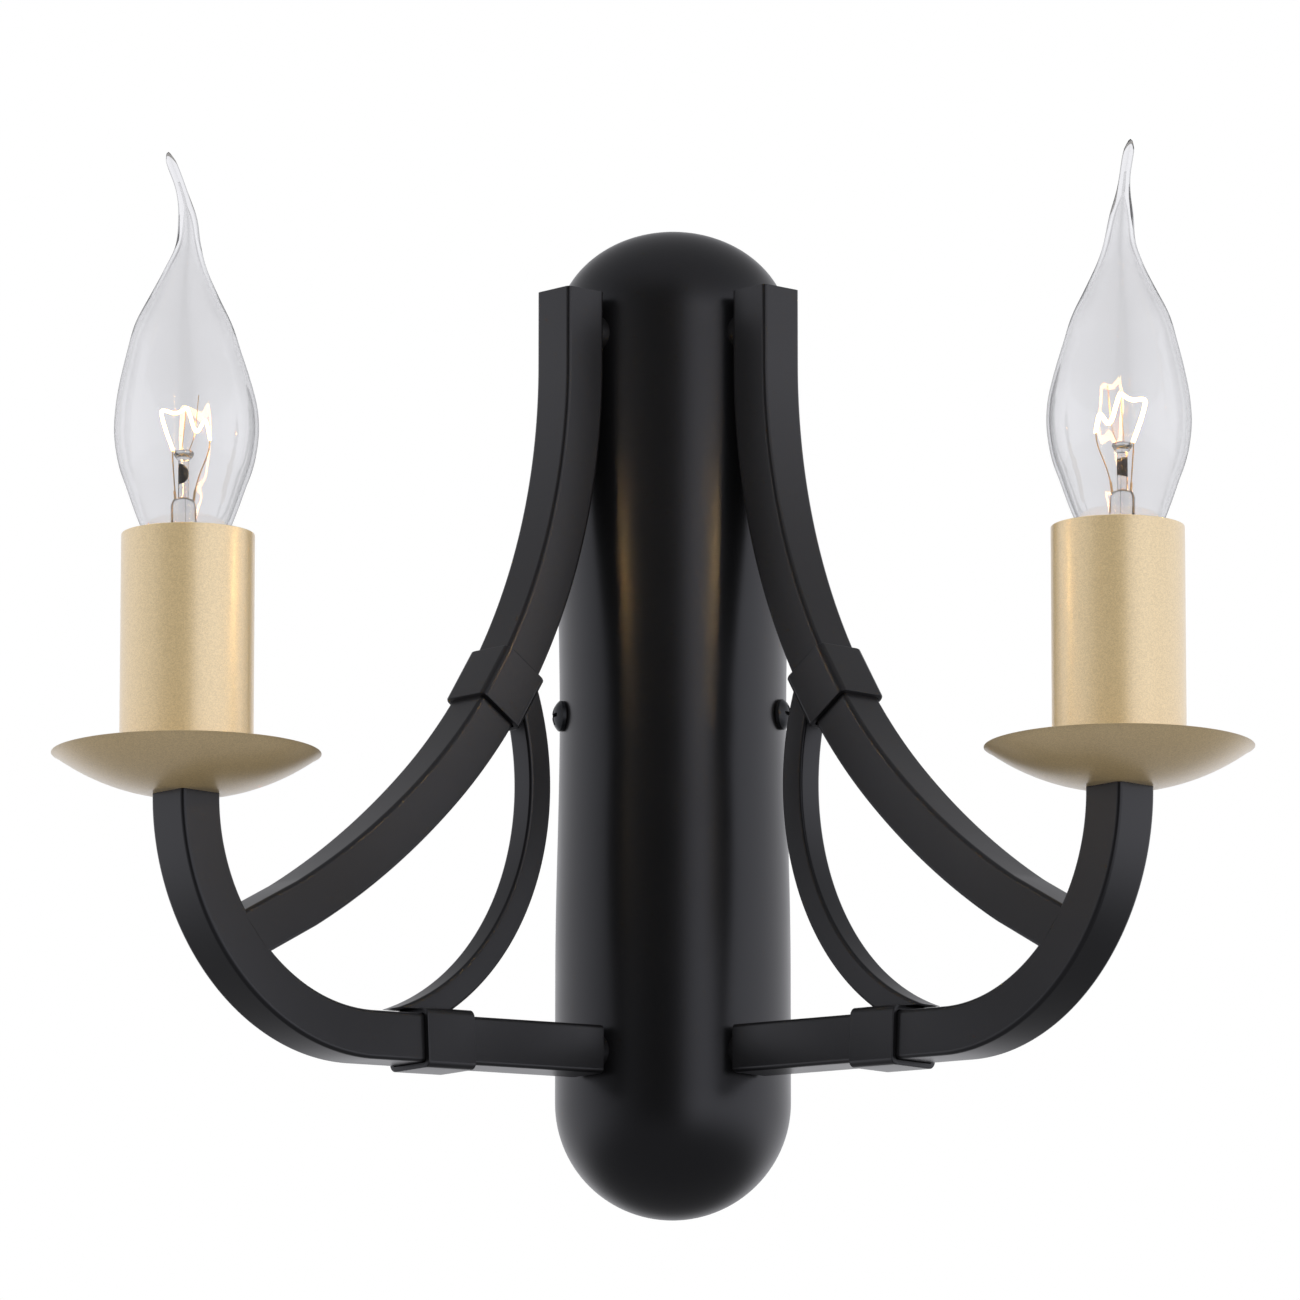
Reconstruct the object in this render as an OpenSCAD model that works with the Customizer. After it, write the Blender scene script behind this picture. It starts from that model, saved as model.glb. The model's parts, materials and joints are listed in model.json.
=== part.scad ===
// Two-light candle wall lamp. Sizes are in millimetres, +Z is up, the wall is the plane Y = 0
// and the lamp stands out of it towards -Y. The origin is on the wall, level with the two side
// screws that hold the canopy to its bracket.

/* [Canopy] */
// Outer radius of the half-round canopy
canopy_r = 29.4; // [27:0.1:32]
// Height of the canopy's top above the side screws
canopy_up = 124.7; // [118:0.1:132]
// Depth of the canopy's bottom below the side screws
canopy_down = 126; // [120:0.5:140]
// Height of the domed top end, which is flatter than the bottom end
canopy_crown = 24.6; // [20:0.1:27]
// Thickness of the canopy's steel sheet
canopy_sheet = 1.2; // [0.8:0.1:1.5]
// How far the side screws draw the canopy in
canopy_pinch = 1; // [0:0.05:1.2]
// Distance above and below the screws over which it is drawn in
pinch_reach = 64; // [50:1:70]

/* [Bracket] */
// Thickness of the bracket's steel
bracket_t = 2; // [1.2:0.1:2.5]
// Width of the bracket's upright strip
strip_w = 38; // [30:1:42]
// Length of the bracket's upright strip
strip_len = 110; // [100:1:124]
// Distance between the two wall screw holes
wall_hole_span = 60; // [50:1:80]
// Radius of the wall screw holes
wall_hole_r = 2.6; // [2:0.1:3]
// Height of the bracket's ears
ear_h = 14; // [11:0.5:18]
// Angle of the side screws, measured from straight ahead
ear_angle = 73; // [70:1:76]
// Radius of the hole that lets the supply cable in
cable_hole_r = 6; // [4.5:0.5:7]

/* [Arms] */
// Angle between an arm and straight ahead, in plan
arm_angle = 45; // [42:0.5:48]
// Distance from the wall to the point where both arms' planes meet
arm_apex = 3.7; // [3:0.1:5]
// Width of the square tube
tube_w = 12; // [11:0.1:13]
// Wall of the square tube
tube_wall = 1; // [0.8:0.1:1.5]
// Corner radius of the square tube
tube_corner = 1; // [0.5:0.1:1.5]
// Distance from the meeting point of the arms to the candle's axis
candle_reach = 158; // [150:0.5:168]
// Depth of the lower arm's upright end below the side screws
arm_top_depth = 36.85; // [34:0.05:40]
// Bend radius of the lower arm, along its middle
lower_bend_r = 53; // [50:0.5:56]
// Slope of the lower arm's straight part, falling away from the wall
lower_droop = 2.75; // [2:0.05:3.5]
// Gap between the canopy's side and the arms, which the spacers fill
arm_gap = 1.8; // [1.6:0.1:3]
// Depth of the upper arm's top below the canopy's top
upper_top_down = 20.7; // [15:0.1:25]
// Length of the straight part at the upper arm's top
upper_straight = 19; // [17:0.5:22]
// First bend radius of the upper arm
upper_r1 = 158; // [150:1:166]
// Turn of the upper arm's first bend
upper_turn1 = 45; // [42:0.5:47]
// Second, wider bend radius of the upper arm
upper_r2 = 220; // [200:1:270]

/* [Collars and braces] */
// Width of a collar, both ways across the arm
collar_w = 14.7; // [14.5:0.1:16]
// Length of a collar
collar_len = 15.4; // [13:0.1:18]
// Thickness of a collar's sheet
collar_wall = 1; // [0.8:0.1:1]
// Outer corner radius of a collar
collar_corner = 1.6; // [1.4:0.1:2.5]
// Place of the upper collar, as the arm's turn there
upper_collar_turn = 32.5; // [30:0.5:35]
// Distance from the meeting point to the middle of the lower collar
lower_collar_reach = 79.3; // [76:0.1:83]
// Width of the brace's square tube
brace_w = 6.8; // [6:0.1:8]
// Wall of the brace's tube
brace_wall = 1; // [0.8:0.1:1.2]
// Corner radius of the brace's tube
brace_corner = 0.8; // [0.5:0.1:1]
// Bend radius of the brace, along its middle
brace_r = 66.5; // [60:0.1:75]
// Where the brace meets the upper collar, above the collar's middle
brace_top_shift = 4.2; // [3:0.1:5]
// Where the brace meets the lower collar, outwards of the collar's middle
brace_foot_shift = 3.7; // [2:0.1:4.5]

/* [Candles] */
// Radius of the flat bottom of the drip dish
dish_flat_r = 9; // [8:0.1:10]
// Radius of the drip dish
dish_r = 32.5; // [29:0.1:36]
// Radius of the sphere that the dish is part of, on its outside
dish_curve = 54.7; // [52:0.1:62]
// Thickness of the dish's sheet
dish_sheet = 1; // [0.7:0.1:1.2]
// Outer radius of the candle sleeve
sleeve_r = 16.1; // [15.6:0.1:17]
// Wall of the candle sleeve
sleeve_wall = 1; // [0.6:0.1:1.2]
// Length of the candle sleeve
sleeve_len = 60.3; // [58:0.1:66]
// Outer radius of the lamp holder
holder_r = 12.3; // [12:0.1:14]
// Depth of the holder's top below the sleeve's top
holder_below = 4.5; // [4:0.1:7]

/* [Bulbs] */
// Largest radius of a bulb
bulb_r = 17.45; // [17:0.05:18]
// Wall of the bulb's glass
glass_wall = 0.7; // [0.5:0.1:0.9]
// Pitch of the bulb's thread
thread_pitch = 2.822; // [2.8:0.002:2.84]
// Mean radius of the bulb's thread
thread_r = 6.545; // [6.4:0.005:6.6]
// Half the depth of the thread
thread_depth = 0.4; // [0.3:0.05:0.45]
// Direction in which the left bulb's tip bends
left_tip_heading = 180; // [150:5:210]
// Direction in which the right bulb's tip bends
right_tip_heading = -50; // [-110:5:-30]

/* [Fixings] */
// Radius of the M4 screws
m4_r = 2; // [1.9:0.05:2.1]
// Radius of the screws' pan heads
pan_r = 3.85; // [3.5:0.05:4.2]
// Height of the pan heads
pan_h = 2.6; // [2.2:0.1:3]
// Radius of the round spacers between the canopy and the arms
spacer_r = 5; // [4.6:0.1:5.5]
// Depth of the upper arms' screws below the arms' tops
upper_screw_down = 9.7; // [9:0.1:12]
// Radius of the hollow stems at the lower arms' inner ends
stem_r = 3.95; // [3.8:0.05:4.3]
// Bore radius of those stems
stem_bore = 2.6; // [2.5:0.05:3]
// Radius of the hollow threaded tube under a lamp holder
nipple_r = 3.95; // [3.8:0.05:4.3]
// Bore radius of that tube
nipple_bore = 2.6; // [2.5:0.05:3]
// Width across the flats of the nuts on these tubes
nut_flats = 13; // [12:0.5:14]
// Thickness of those nuts
nut_t = 4; // [3:0.1:5]
// Radius of an insulated wire
wire_r = 0.9; // [0.7:0.05:0.95]
// Half the distance between the two wires of an arm
wire_gap = 1; // [0.98:0.01:1.2]
// Clearance between pieces that fit in or over each other
fit = 0.1; // [0.05:0.01:0.15]

/* [Hidden] */
$fn = 60;

// Colours
powder_black = "#1c1c1e";
champagne_gold = "#c2a878";
zinc = "#b9bcc0";
brass = "#c9a24c";
plastic_white = "#e6e4df";
glass_clear = [0.9, 0.95, 1, 0.3];
wire_brown = "#6b4a35";
earth_green = "#5d8a3a";

// Distance out along an arm to the upright surface of radius out_r, at a sideways distance from the arm
function reach_to(out_r, aside = 0) =
    sqrt(out_r * out_r - pow(lean + aside, 2)) - arm_apex * cos(arm_angle);

// Where the arms start: the lower arm's inner end, and the middle and height of the upper arm's top
lean = arm_apex * sin(arm_angle);
lower_end = reach_to(canopy_r + arm_gap);
upper_inset = lower_end + tube_w / 2;
upper_top = canopy_up - upper_top_down;

// Middle lines of the arms, as [distance out from the meeting point, height]
arm_stub = 0.5;
seat_z = -arm_top_depth;
lower_c = [candle_reach - lower_bend_r, seat_z - arm_stub];
lower_turn = 90 + lower_droop;
lower_bend_end = lower_c + lower_bend_r * [cos(lower_turn), -sin(lower_turn)];
upper_c1 = [upper_inset + upper_r1, upper_top - upper_straight];
upper_join = upper_c1 - upper_r1 * [cos(upper_turn1), sin(upper_turn1)];
upper_c2 = upper_join + upper_r2 * [cos(upper_turn1), sin(upper_turn1)];
weld = circles_meet(upper_c2, upper_r2, lower_c, lower_bend_r);
weld_turn = atan2(upper_c2[1] - weld[1], upper_c2[0] - weld[0]);

// The point where two circles cross, on the left of the line from the first middle to the second
function circles_meet(a, ra, b, rb) =
    let (d = norm(b - a), u = (b - a) / d, along = (ra * ra - rb * rb + d * d) / (2 * d))
    a + along * u + sqrt(ra * ra - along * along) * [-u[1], u[0]];

// Height of the lower arm's middle line along its straight part
function lower_height(out) = lower_bend_end[1] + (lower_bend_end[0] - out) * tan(lower_droop);

// Collars' middles and the faces that the brace meets
upper_collar_p = upper_c1 - upper_r1 * [cos(upper_collar_turn), sin(upper_collar_turn)];
lower_collar_p = [lower_collar_reach, lower_height(lower_collar_reach)];
upper_down = [sin(upper_collar_turn), -cos(upper_collar_turn)];
lower_out = [cos(lower_droop), -sin(lower_droop)];
upper_face_p = upper_collar_p - collar_w / 2 * [cos(upper_collar_turn), sin(upper_collar_turn)];
lower_face_p = lower_collar_p + collar_w / 2 * [sin(lower_droop), cos(lower_droop)];
brace_top = upper_face_p - brace_top_shift * upper_down;
brace_foot = lower_face_p + brace_foot_shift * lower_out;
brace_span = brace_foot - brace_top;
brace_rise = sqrt(brace_r * brace_r - pow(norm(brace_span) / 2, 2));
brace_c = (brace_top + brace_foot) / 2 + brace_rise / norm(brace_span) * [-brace_span[1], brace_span[0]];

// Candle, from the arm's upright end upwards
dish_c = seat_z + sqrt(dish_curve * dish_curve - dish_flat_r * dish_flat_r);
dish_rim = dish_c - sqrt(dish_curve * dish_curve - dish_r * dish_r);
dish_in = dish_curve - dish_sheet;
sleeve_low = dish_c - sqrt(dish_in * dish_in - sleeve_r * sleeve_r) + fit;
sleeve_high = sleeve_low + sleeve_len;
nut_low = seat_z + dish_sheet;
holder_low = nut_low + nut_t;
holder_high = sleeve_high - holder_below;
holder_floor = 4;
holder_cavity_r = 9.5;
nipple_high = holder_low + holder_floor + 1.5;
nipple_low = seat_z - 6;

// Bulb, holder shell and contacts; heights in the bulb are above its lower contact
shell_len = 23;
shell_high = holder_high - 2;
shell_low = shell_high - shell_len;
shell_clear = 0.3;
shell_wall = 0.4;
thread_from = 5.2;
thread_rise = 4 * thread_pitch;
cap_plain_r = thread_r + thread_depth;
thread_fade = 0.8;
thread_segments = 18;
thread_rings = 24;
bulb_z = shell_low - 2.1;
shell_out_r = cap_plain_r + shell_clear + shell_wall + 0.05;
holder_bore = shell_out_r + 0.2;
lug_r = 7;
lug_t = 1.3;
lug_w = 3;
pin_r = 1.4;
contact_low = shell_low - 10;
partition_low = contact_low + 2;
partition_t = 3;
insulator_low = 1.5;
insulator_r = 5.5;
cap_low = 3.9;
cap_high = 26.1;
cap_foot_r = 6;
cap_wall = 0.445;
contact_r = 2.4;
neck_low = cap_high - 5;
bulb_scale = bulb_r / 17.45;
glass_rows = [
    [26.4, 7.2], [29.8, 8.75], [33.4, 10.6], [37.5, 12.2], [42.9, 14.25], [48, 15.9], [53, 17.05],
    [57.8, 17.45], [63.4, 17], [69.5, 15.7], [76, 13.9], [83, 11.8], [90, 8.4], [96.4, 5.3],
    [103.1, 2.65], [110.1, 2], [116.6, 1.36], [123.5, 1.25], [125.6, 0.5]
];
glass_lean = [
    [62, 0], [83, 0.9], [96.4, 0.5], [103.1, -0.2], [110.1, 0], [116.6, 1.6], [123.5, 4.2], [125.6, 4.9]
];

glass_segments = 16;
glass_neck_r = 6.3;
stem_high = 50;
stem_rod_r = 1.3;
stem_flare_r = 5.4;
lead_r = 0.3;
lead_low = 37.6;
lead_apart = 2.3;
left_lead_top = [-3.8, 0, 50.3];
right_lead_top = [5.1, 0, 52.7];
coil_r = 0.25;
coil_bend_r = 0.6;
coil_sides = 8;
coil_peaks = [
    left_lead_top + [0, 0, coil_r / 2], [-6.8, 1, 60.4], [-3.6, 3, 60], [-0.8, 3.5, 61.5],
    [1, 1, 55.7], [3.5, -1, 53.5], right_lead_top + [0, 0, coil_r]
];
insulator_black = "#2a2420";
lead_copper = "#8a7a66";
filament_glow = "#ffd9a0";

// Canopy and its fixings
screw_out = canopy_r - canopy_pinch;
ear_w = 10;
ear_limit = screw_out - canopy_sheet - fit;
ear_reach = sqrt(ear_limit * ear_limit - ear_w * ear_w / 4);
upper_screw_z = upper_top - upper_screw_down;
lower_stem_z = lower_height(lower_end);
plate_t = 1.5;
block_w = 30;
block_d = 16;
block_h = 12;
block_low = -cable_hole_r - 5 - block_h;
block_front = bracket_t + block_d;
earth_x = 12;
earth_z = 26;
lug_ring_r = 4.5;
lug_ring_t = 0.8;
lug_barrel_w = 3;
lug_barrel_h = 4;
earth_wire_out = 4;
terminal_apart = 5;
terminal_screw_r = 1.8;
terminal_screw_h = 2.4;
square_nut_w = 7;
square_nut_t = 3;
screw_past_nut = 1;

stem_nut_face = reach_to(canopy_r - canopy_sheet, nut_flats / 2) - fit / 2;
stem_inner = stem_nut_face - nut_t - 1.5;
screw_head_face = reach_to(canopy_r - canopy_sheet, pan_r) - fit / 2;

// Wires' bend inside the canopy
wire_bend_r = 5;
wire_turn_p = [stem_inner, lower_height(stem_inner)];
wire_bend_c = wire_turn_p + wire_bend_r * [sin(lower_droop), cos(lower_droop)];
wire_hole_depth = 4;

// Outline of the canopy, drawn in by its screws; inset moves it inwards
function pinched(z) = abs(z) < pinch_reach ? canopy_pinch * pow(cos(90 * z / pinch_reach), 2) : 0;
function canopy_side(inset) =
    let (
        r = canopy_r - inset,
        crown = canopy_crown - inset,
        top = canopy_up - canopy_crown,
        low = canopy_r - canopy_down
    )
    concat(
        [for (a = [-90:6:0]) [r * cos(a), low + r * sin(a)]],
        [for (i = [-6:6]) [r - pinched(i * pinch_reach / 6), i * pinch_reach / 6]],
        [for (a = [0:6:90]) [r * cos(a), top + crown * sin(a)]]
    );
function backwards(list) = [for (i = [len(list) - 1:-1:0]) list[i]];

// Places an arm's piece, drawn outwards along +X and square to the arm along Y
module on_arm(side) {
    mirror([side < 0 ? 1 : 0, 0, 0])
        translate([0, -arm_apex, 0])
            rotate([0, 0, arm_angle - 90])
                children();
}

// Places a candle's piece that the two sides share without mirroring
module on_candle(side) {
    translate([side * candle_reach * sin(arm_angle), -arm_apex - candle_reach * cos(arm_angle), 0])
        children();
}

module for_both_sides() {
    for (side = [-1, 1]) {
        on_arm(side) children();
    }
}

// Square with rounded corners
module rounded(w, h, r) {
    steps = 4;
    sx = [1, -1, -1, 1];
    sy = [1, 1, -1, -1];
    polygon([
        for (q = [0:3])
            for (k = [0:steps])
                let (a = 90 * q + 90 * k / steps)
                [sx[q] * (w / 2 - r) + r * cos(a), sy[q] * (h / 2 - r) + r * sin(a)]
    ]);
}

module square_tube(w, wall, r) {
    difference() {
        rounded(w, w, r);
        rounded(w - 2 * wall, w - 2 * wall, max(r - wall, 0.3));
    }
}

// A section carried straight on from point p, or round point c, in an arm's plane
module straight(p, heading, length) {
    translate([p[0], 0, p[1]])
        rotate([0, 90 - heading, 0])
            linear_extrude(length)
                children();
}

module bend(c, r, from, turn) {
    translate([c[0], 0, c[1]])
        rotate([90, 0, 0])
            rotate_extrude(start = from, angle = turn, $fn = 120)
                translate([r, 0])
                    children();
}

// The lower arm's run with the section that is given, in to the distance given and cut off at its seat;
// it is drawn in a frame that slopes with its straight part
module lower_run(to) {
    over = 2;
    tall = 2 * lower_bend_r;
    difference() {
        translate([lower_c[0], 0, lower_c[1]])
            rotate([0, lower_droop, 0]) {
                rotate([90, 0, 0])
                    rotate_extrude(start = -90, angle = 90 + lower_droop + over, $fn = 120)
                        translate([lower_bend_r, 0])
                            children();
                translate([0, 0, -lower_bend_r])
                    rotate([0, -90, 0])
                        linear_extrude((lower_bend_end[0] - to) / cos(lower_droop))
                            children();
            }
        translate([0, -tall / 2, seat_z]) cube([2 * candle_reach, tall, tall]);
    }
}

// A bar pointing out of the canopy along an arm, from one distance to another
module out_rod(r, from, to, z) {
    translate([from, 0, z])
        rotate([0, 90, 0])
            cylinder(r = r, h = to - from);
}

module hex_prism(flats, h) {
    cylinder(r = flats / 2 / cos(30), h = h, $fn = 6);
}

// Solid with rounded skin through rings of points, lowest first; loop joins the last ring to the first
module skin(rings, loop = false) {
    n = len(rings[0]);
    m = len(rings);
    points = [for (ring = rings) each ring];
    last = loop ? m - 1 : m - 2;
    sides = [
        for (i = [0:last])
            for (j = [0:n - 1])
                let (a = i * n, b = (i + 1) % m * n, k = (j + 1) % n)
                each [[a + j, b + j, b + k], [a + j, b + k, a + k]]
    ];
    ends = loop ? [] : [[for (j = [0:n - 1]) j], [for (j = [n - 1:-1:0]) (m - 1) * n + j]];
    polyhedron(points = points, faces = concat(sides, ends));
}

// Screw with a cross recess; its head's underside is at the origin and its shank points down
module pan_screw(length) {
    recess_w = 1;
    recess_l = 4.6;
    recess_d = 1.3;
    dome_r = 1.35 * pan_r;
    difference() {
        union() {
            translate([0, 0, -length]) cylinder(r = m4_r, h = length + pan_h / 2);
            intersection() {
                cylinder(r = pan_r, h = pan_h);
                translate([0, 0, pan_h - dome_r]) sphere(r = dome_r);
            }
        }
        for (a = [0, 90]) {
            rotate([0, 0, a])
                translate([-recess_l / 2, -recess_w / 2, pan_h - recess_d])
                    cube([recess_l, recess_w, recess_d + 1]);
        }
    }
}

// Points out through the canopy's side along a side screw's axis
module along_ear(side, out) {
    rotate([0, 0, side * ear_angle - 90])
        translate([out, 0, 0])
            rotate([0, 90, 0])
                children();
}

module canopy() {
    color(powder_black)
        difference() {
            rotate_extrude(start = 180, angle = 180)
                polygon(concat(canopy_side(0), backwards(canopy_side(canopy_sheet))));
            for (side = [-1, 1]) {
                along_ear(side, screw_out - 5) cylinder(r = m4_r + fit, h = 10);
            }
            for_both_sides() {
                out_rod(m4_r + fit, canopy_r - 10, canopy_r + 5, upper_screw_z);
                out_rod(stem_r + fit, canopy_r - 10, canopy_r + 5, lower_stem_z);
            }
        }
}

// Plate on the wall with two ears bent forward; the ears carry the canopy's side screws
module wall_bracket() {
    thread_hole_r = m4_r + fit / 2;
    tab = ear_limit - 1;
    color(zinc)
        difference() {
            union() {
                translate([-strip_w / 2, -bracket_t, -strip_len / 2]) cube([strip_w, bracket_t, strip_len]);
                translate([-tab, -bracket_t, -ear_h / 2]) cube([2 * tab, bracket_t, ear_h]);
                for (side = [-1, 1]) {
                    mirror([side < 0 ? 1 : 0, 0, 0])
                        translate([0, 0, -ear_h / 2])
                            linear_extrude(ear_h)
                                polygon(ear_outline());
                }
            }
            for (side = [-1, 1]) {
                along_ear(side, ear_reach - 5) cylinder(r = thread_hole_r, h = 10);
                translate([0, 1, side * wall_hole_span / 2])
                    rotate([90, 0, 0])
                        cylinder(r = wall_hole_r, h = bracket_t + 2);
            }
            translate([0, 1, 0]) rotate([90, 0, 0]) cylinder(r = cable_hole_r, h = bracket_t + 2);
            translate([earth_x, 1, earth_z])
                rotate([90, 0, 0])
                    cylinder(r = thread_hole_r, h = bracket_t + 2);
        }
}

// Plan of the right ear: flat under the side screw, then back to the plate inside the canopy
function ear_point(back, out) = [
    out * sin(ear_angle) + back * cos(ear_angle),
    -out * cos(ear_angle) + back * sin(ear_angle)
];
function ear_outline() = [
    ear_point(-ear_w / 2, ear_reach), ear_point(ear_w / 2, ear_reach), [ear_limit - 0.3, 0],
    [ear_limit - 0.3 - bracket_t, 0], ear_point(ear_w / 2, ear_reach - bracket_t),
    ear_point(-ear_w / 2, ear_reach - bracket_t)
];

module canopy_screws() {
    color(powder_black)
        for (side = [-1, 1]) {
            along_ear(side, screw_out + fit / 2) pan_screw(screw_out - ear_reach + bracket_t + 1.5);
        }
}

module earth_screw() {
    color(brass)
        translate([earth_x, -bracket_t - lug_ring_t, earth_z])
            rotate([90, 0, 0])
                pan_screw(lug_ring_t + bracket_t);
}

// Ring lug under the earth screw and its wire down into the terminal block
module earth_lead() {
    low = block_low + block_h - wire_hole_depth;
    barrel_top = earth_z - lug_ring_r;
    barrel_low = barrel_top - lug_barrel_h;
    color(earth_green)
        difference() {
            union() {
                translate([earth_x, -bracket_t, earth_z])
                    rotate([90, 0, 0])
                        cylinder(r = lug_ring_r, h = lug_ring_t);
                translate([earth_x - lug_barrel_w / 2, -bracket_t - lug_ring_t, barrel_low])
                    cube([lug_barrel_w, lug_ring_t, lug_barrel_h + lug_ring_r / 2]);
                translate([earth_x - lug_barrel_w / 2, -bracket_t - earth_wire_out, barrel_low])
                    cube([lug_barrel_w, earth_wire_out, lug_barrel_h]);
                translate([earth_x, -bracket_t - earth_wire_out, low])
                    cylinder(r = wire_r, h = barrel_low + lug_barrel_h / 2 - low);
            }
            translate([earth_x, 0, earth_z])
                rotate([90, 0, 0])
                    cylinder(r = m4_r + fit, h = bracket_t + 2 * lug_ring_t);
        }
}

// Block with screw terminals, standing on the bracket; the arms' wires enter it from below
module terminal_block() {
    wire_up = block_low + wire_hole_depth / 2 - wire_bend_c[1];
    wire_x = wire_bend_c[0] - wire_bend_r + wire_up * tan(lower_droop);
    color(plastic_white)
        difference() {
            translate([-block_w / 2, -block_front, block_low]) cube([block_w, block_d, block_h]);
            for_both_sides() {
                translate([wire_x - 1.5 * wire_r, -wire_gap - 1.5 * wire_r, block_low - 1])
                    cube([3 * wire_r, 2 * wire_gap + 3 * wire_r, wire_hole_depth + 1]);
            }
            translate([earth_x, -bracket_t - earth_wire_out, block_low + block_h - wire_hole_depth])
                cylinder(r = wire_r + fit, h = wire_hole_depth + 1);
            for (i = [-1:1]) {
                translate([i * terminal_apart, -block_front - 1, block_low + block_h / 2])
                    rotate([-90, 0, 0])
                        cylinder(r = terminal_screw_r + 2 * fit, h = 4);
            }
        }
}

module terminal_screws() {
    color(zinc)
        for (i = [-1:1]) {
            translate([i * terminal_apart, -block_front + 3, block_low + block_h / 2])
                rotate([90, 0, 0])
                    difference() {
                        cylinder(r = terminal_screw_r, h = terminal_screw_h);
                        translate([-3, -0.3, terminal_screw_h - 0.8]) cube([6, 0.6, 2]);
                    }
        }
}

// Spacer shaped to the canopy's side at one end and flat to the arm at the other
module coped_ring(bore, arm_face, z) {
    difference() {
        out_rod(spacer_r, reach_to(canopy_r) - 3, arm_face, z);
        out_rod(bore, reach_to(canopy_r) - 4, arm_face + 1, z);
        rotate([0, 0, 90 - arm_angle])
            translate([0, arm_apex, z - 2 * spacer_r])
                cylinder(r = canopy_r + fit / 2, h = 4 * spacer_r);
    }
}

module upper_spacers() {
    color(powder_black)
        for_both_sides() coped_ring(m4_r + fit, lower_end, upper_screw_z);
}

module lower_spacers() {
    color(powder_black)
        for_both_sides() coped_ring(stem_r + fit, lower_end, lower_stem_z);
}

module upper_arm_screws() {
    reach = lower_end + tube_wall + square_nut_t + screw_past_nut;
    color(zinc)
        for_both_sides()
            translate([screw_head_face, 0, upper_screw_z])
                rotate([0, -90, 0])
                    pan_screw(reach - screw_head_face);
}

module upper_arm_nuts() {
    face = lower_end + tube_wall;
    across = square_nut_w;
    color(zinc)
        for_both_sides()
            difference() {
                translate([face, -across / 2, upper_screw_z - across / 2])
                    cube([square_nut_t, across, across]);
                out_rod(m4_r + fit / 2, face - 1, face + square_nut_t + 1, upper_screw_z);
            }
}

module lower_stems() {
    color(zinc)
        for_both_sides()
            difference() {
                out_rod(stem_r, stem_inner, lower_end + plate_t, lower_stem_z);
                out_rod(stem_bore, stem_inner - 1, lower_end + plate_t + 1, lower_stem_z);
            }
}

module lower_stem_nuts() {
    color(zinc)
        for_both_sides()
            difference() {
                translate([stem_nut_face - nut_t, 0, lower_stem_z])
                    rotate([0, 90, 0])
                        hex_prism(nut_flats, nut_t);
                out_rod(stem_r + fit / 2, stem_nut_face - nut_t - 1, stem_nut_face + 1, lower_stem_z);
            }
}

module lower_arm(side) {
    color(powder_black)
        on_arm(side)
            difference() {
                lower_run(lower_end - tube_w / 2) square_tube(tube_w, tube_wall, tube_corner);
                translate([lower_end - 2 * tube_w, -tube_w, lower_stem_z - tube_w])
                    cube(2 * tube_w);
            }
}

module upper_arm(side) {
    screw_hole_r = m4_r + fit;
    color(powder_black)
        on_arm(side)
            difference() {
                union() {
                    straight([upper_inset, upper_top], -90, upper_straight)
                        square_tube(tube_w, tube_wall, tube_corner);
                    bend(upper_c1, upper_r1, 180, upper_turn1)
                        square_tube(tube_w, tube_wall, tube_corner);
                    bend(upper_c2, upper_r2, 180 + upper_turn1, weld_turn - upper_turn1)
                        square_tube(tube_w, tube_wall, tube_corner);
                }
                bend(lower_c, lower_bend_r, -lower_turn, lower_turn + 10)
                    square([tube_w + fit, 2 * tube_w], center = true);
                out_rod(screw_hole_r, upper_inset - tube_w, upper_inset, upper_screw_z);
            }
}

module collar(p, heading) {
    back = p - collar_len / 2 * [cos(heading), sin(heading)];
    inner = collar_w - 2 * collar_wall;
    straight(back, heading, collar_len)
        difference() {
            rounded(collar_w, collar_w, collar_corner);
            rounded(inner, inner, max(collar_corner - collar_wall, 0.3));
        }
}

module upper_collar(side) {
    color(powder_black) on_arm(side) collar(upper_collar_p, upper_collar_turn - 90);
}

module lower_collar(side) {
    color(powder_black) on_arm(side) collar(lower_collar_p, -lower_droop);
}

// Everything on one side of a plane through point p, on the side that the heading points to
module beyond(p, heading) {
    size = 80;
    translate([p[0], 0, p[1]])
        rotate([0, -heading, 0])
            translate([0, -size / 2, -size / 2])
                cube(size);
}

// Curved tube cut flush on the two collars' faces; its foot runs out past the lower collar
module brace(side) {
    color(powder_black)
        on_arm(side)
            difference() {
                bend(brace_c, brace_r, 150, 105) square_tube(brace_w, brace_wall, brace_corner);
                beyond(upper_face_p, upper_collar_turn);
                beyond(lower_face_p, -90 - lower_droop);
            }
}

module end_plate(side) {
    inside = tube_w - 2 * tube_wall - 2 * fit;
    color(powder_black)
        on_arm(side)
            difference() {
                translate([lower_end, -inside / 2, lower_stem_z - inside / 2])
                    cube([plate_t, inside, inside]);
                out_rod(stem_r + fit / 2, lower_end - 1, lower_end + plate_t + 1, lower_stem_z);
            }
}

module top_plug(side) {
    inside = tube_w - 2 * tube_wall - 2 * fit;
    depth = 3;
    color(powder_black)
        on_arm(side)
            straight([upper_inset, upper_top], -90, depth) square(inside, center = true);
}

module seat_plug(side) {
    inside = tube_w - 2 * tube_wall - 2 * fit;
    color(zinc)
        on_arm(side)
            difference() {
                intersection() {
                    union() {
                        straight([candle_reach, lower_c[1]], 90, arm_stub) square(inside, center = true);
                        bend(lower_c, lower_bend_r, -8, 8) square(inside, center = true);
                    }
                    translate([candle_reach - tube_w, -tube_w, nipple_low])
                        cube([2 * tube_w, 2 * tube_w, seat_z - nipple_low]);
                }
                translate([candle_reach, 0, nipple_low - tube_w])
                    cylinder(r = nipple_r + fit, h = seat_z - nipple_low + 2 * tube_w);
            }
}

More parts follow.
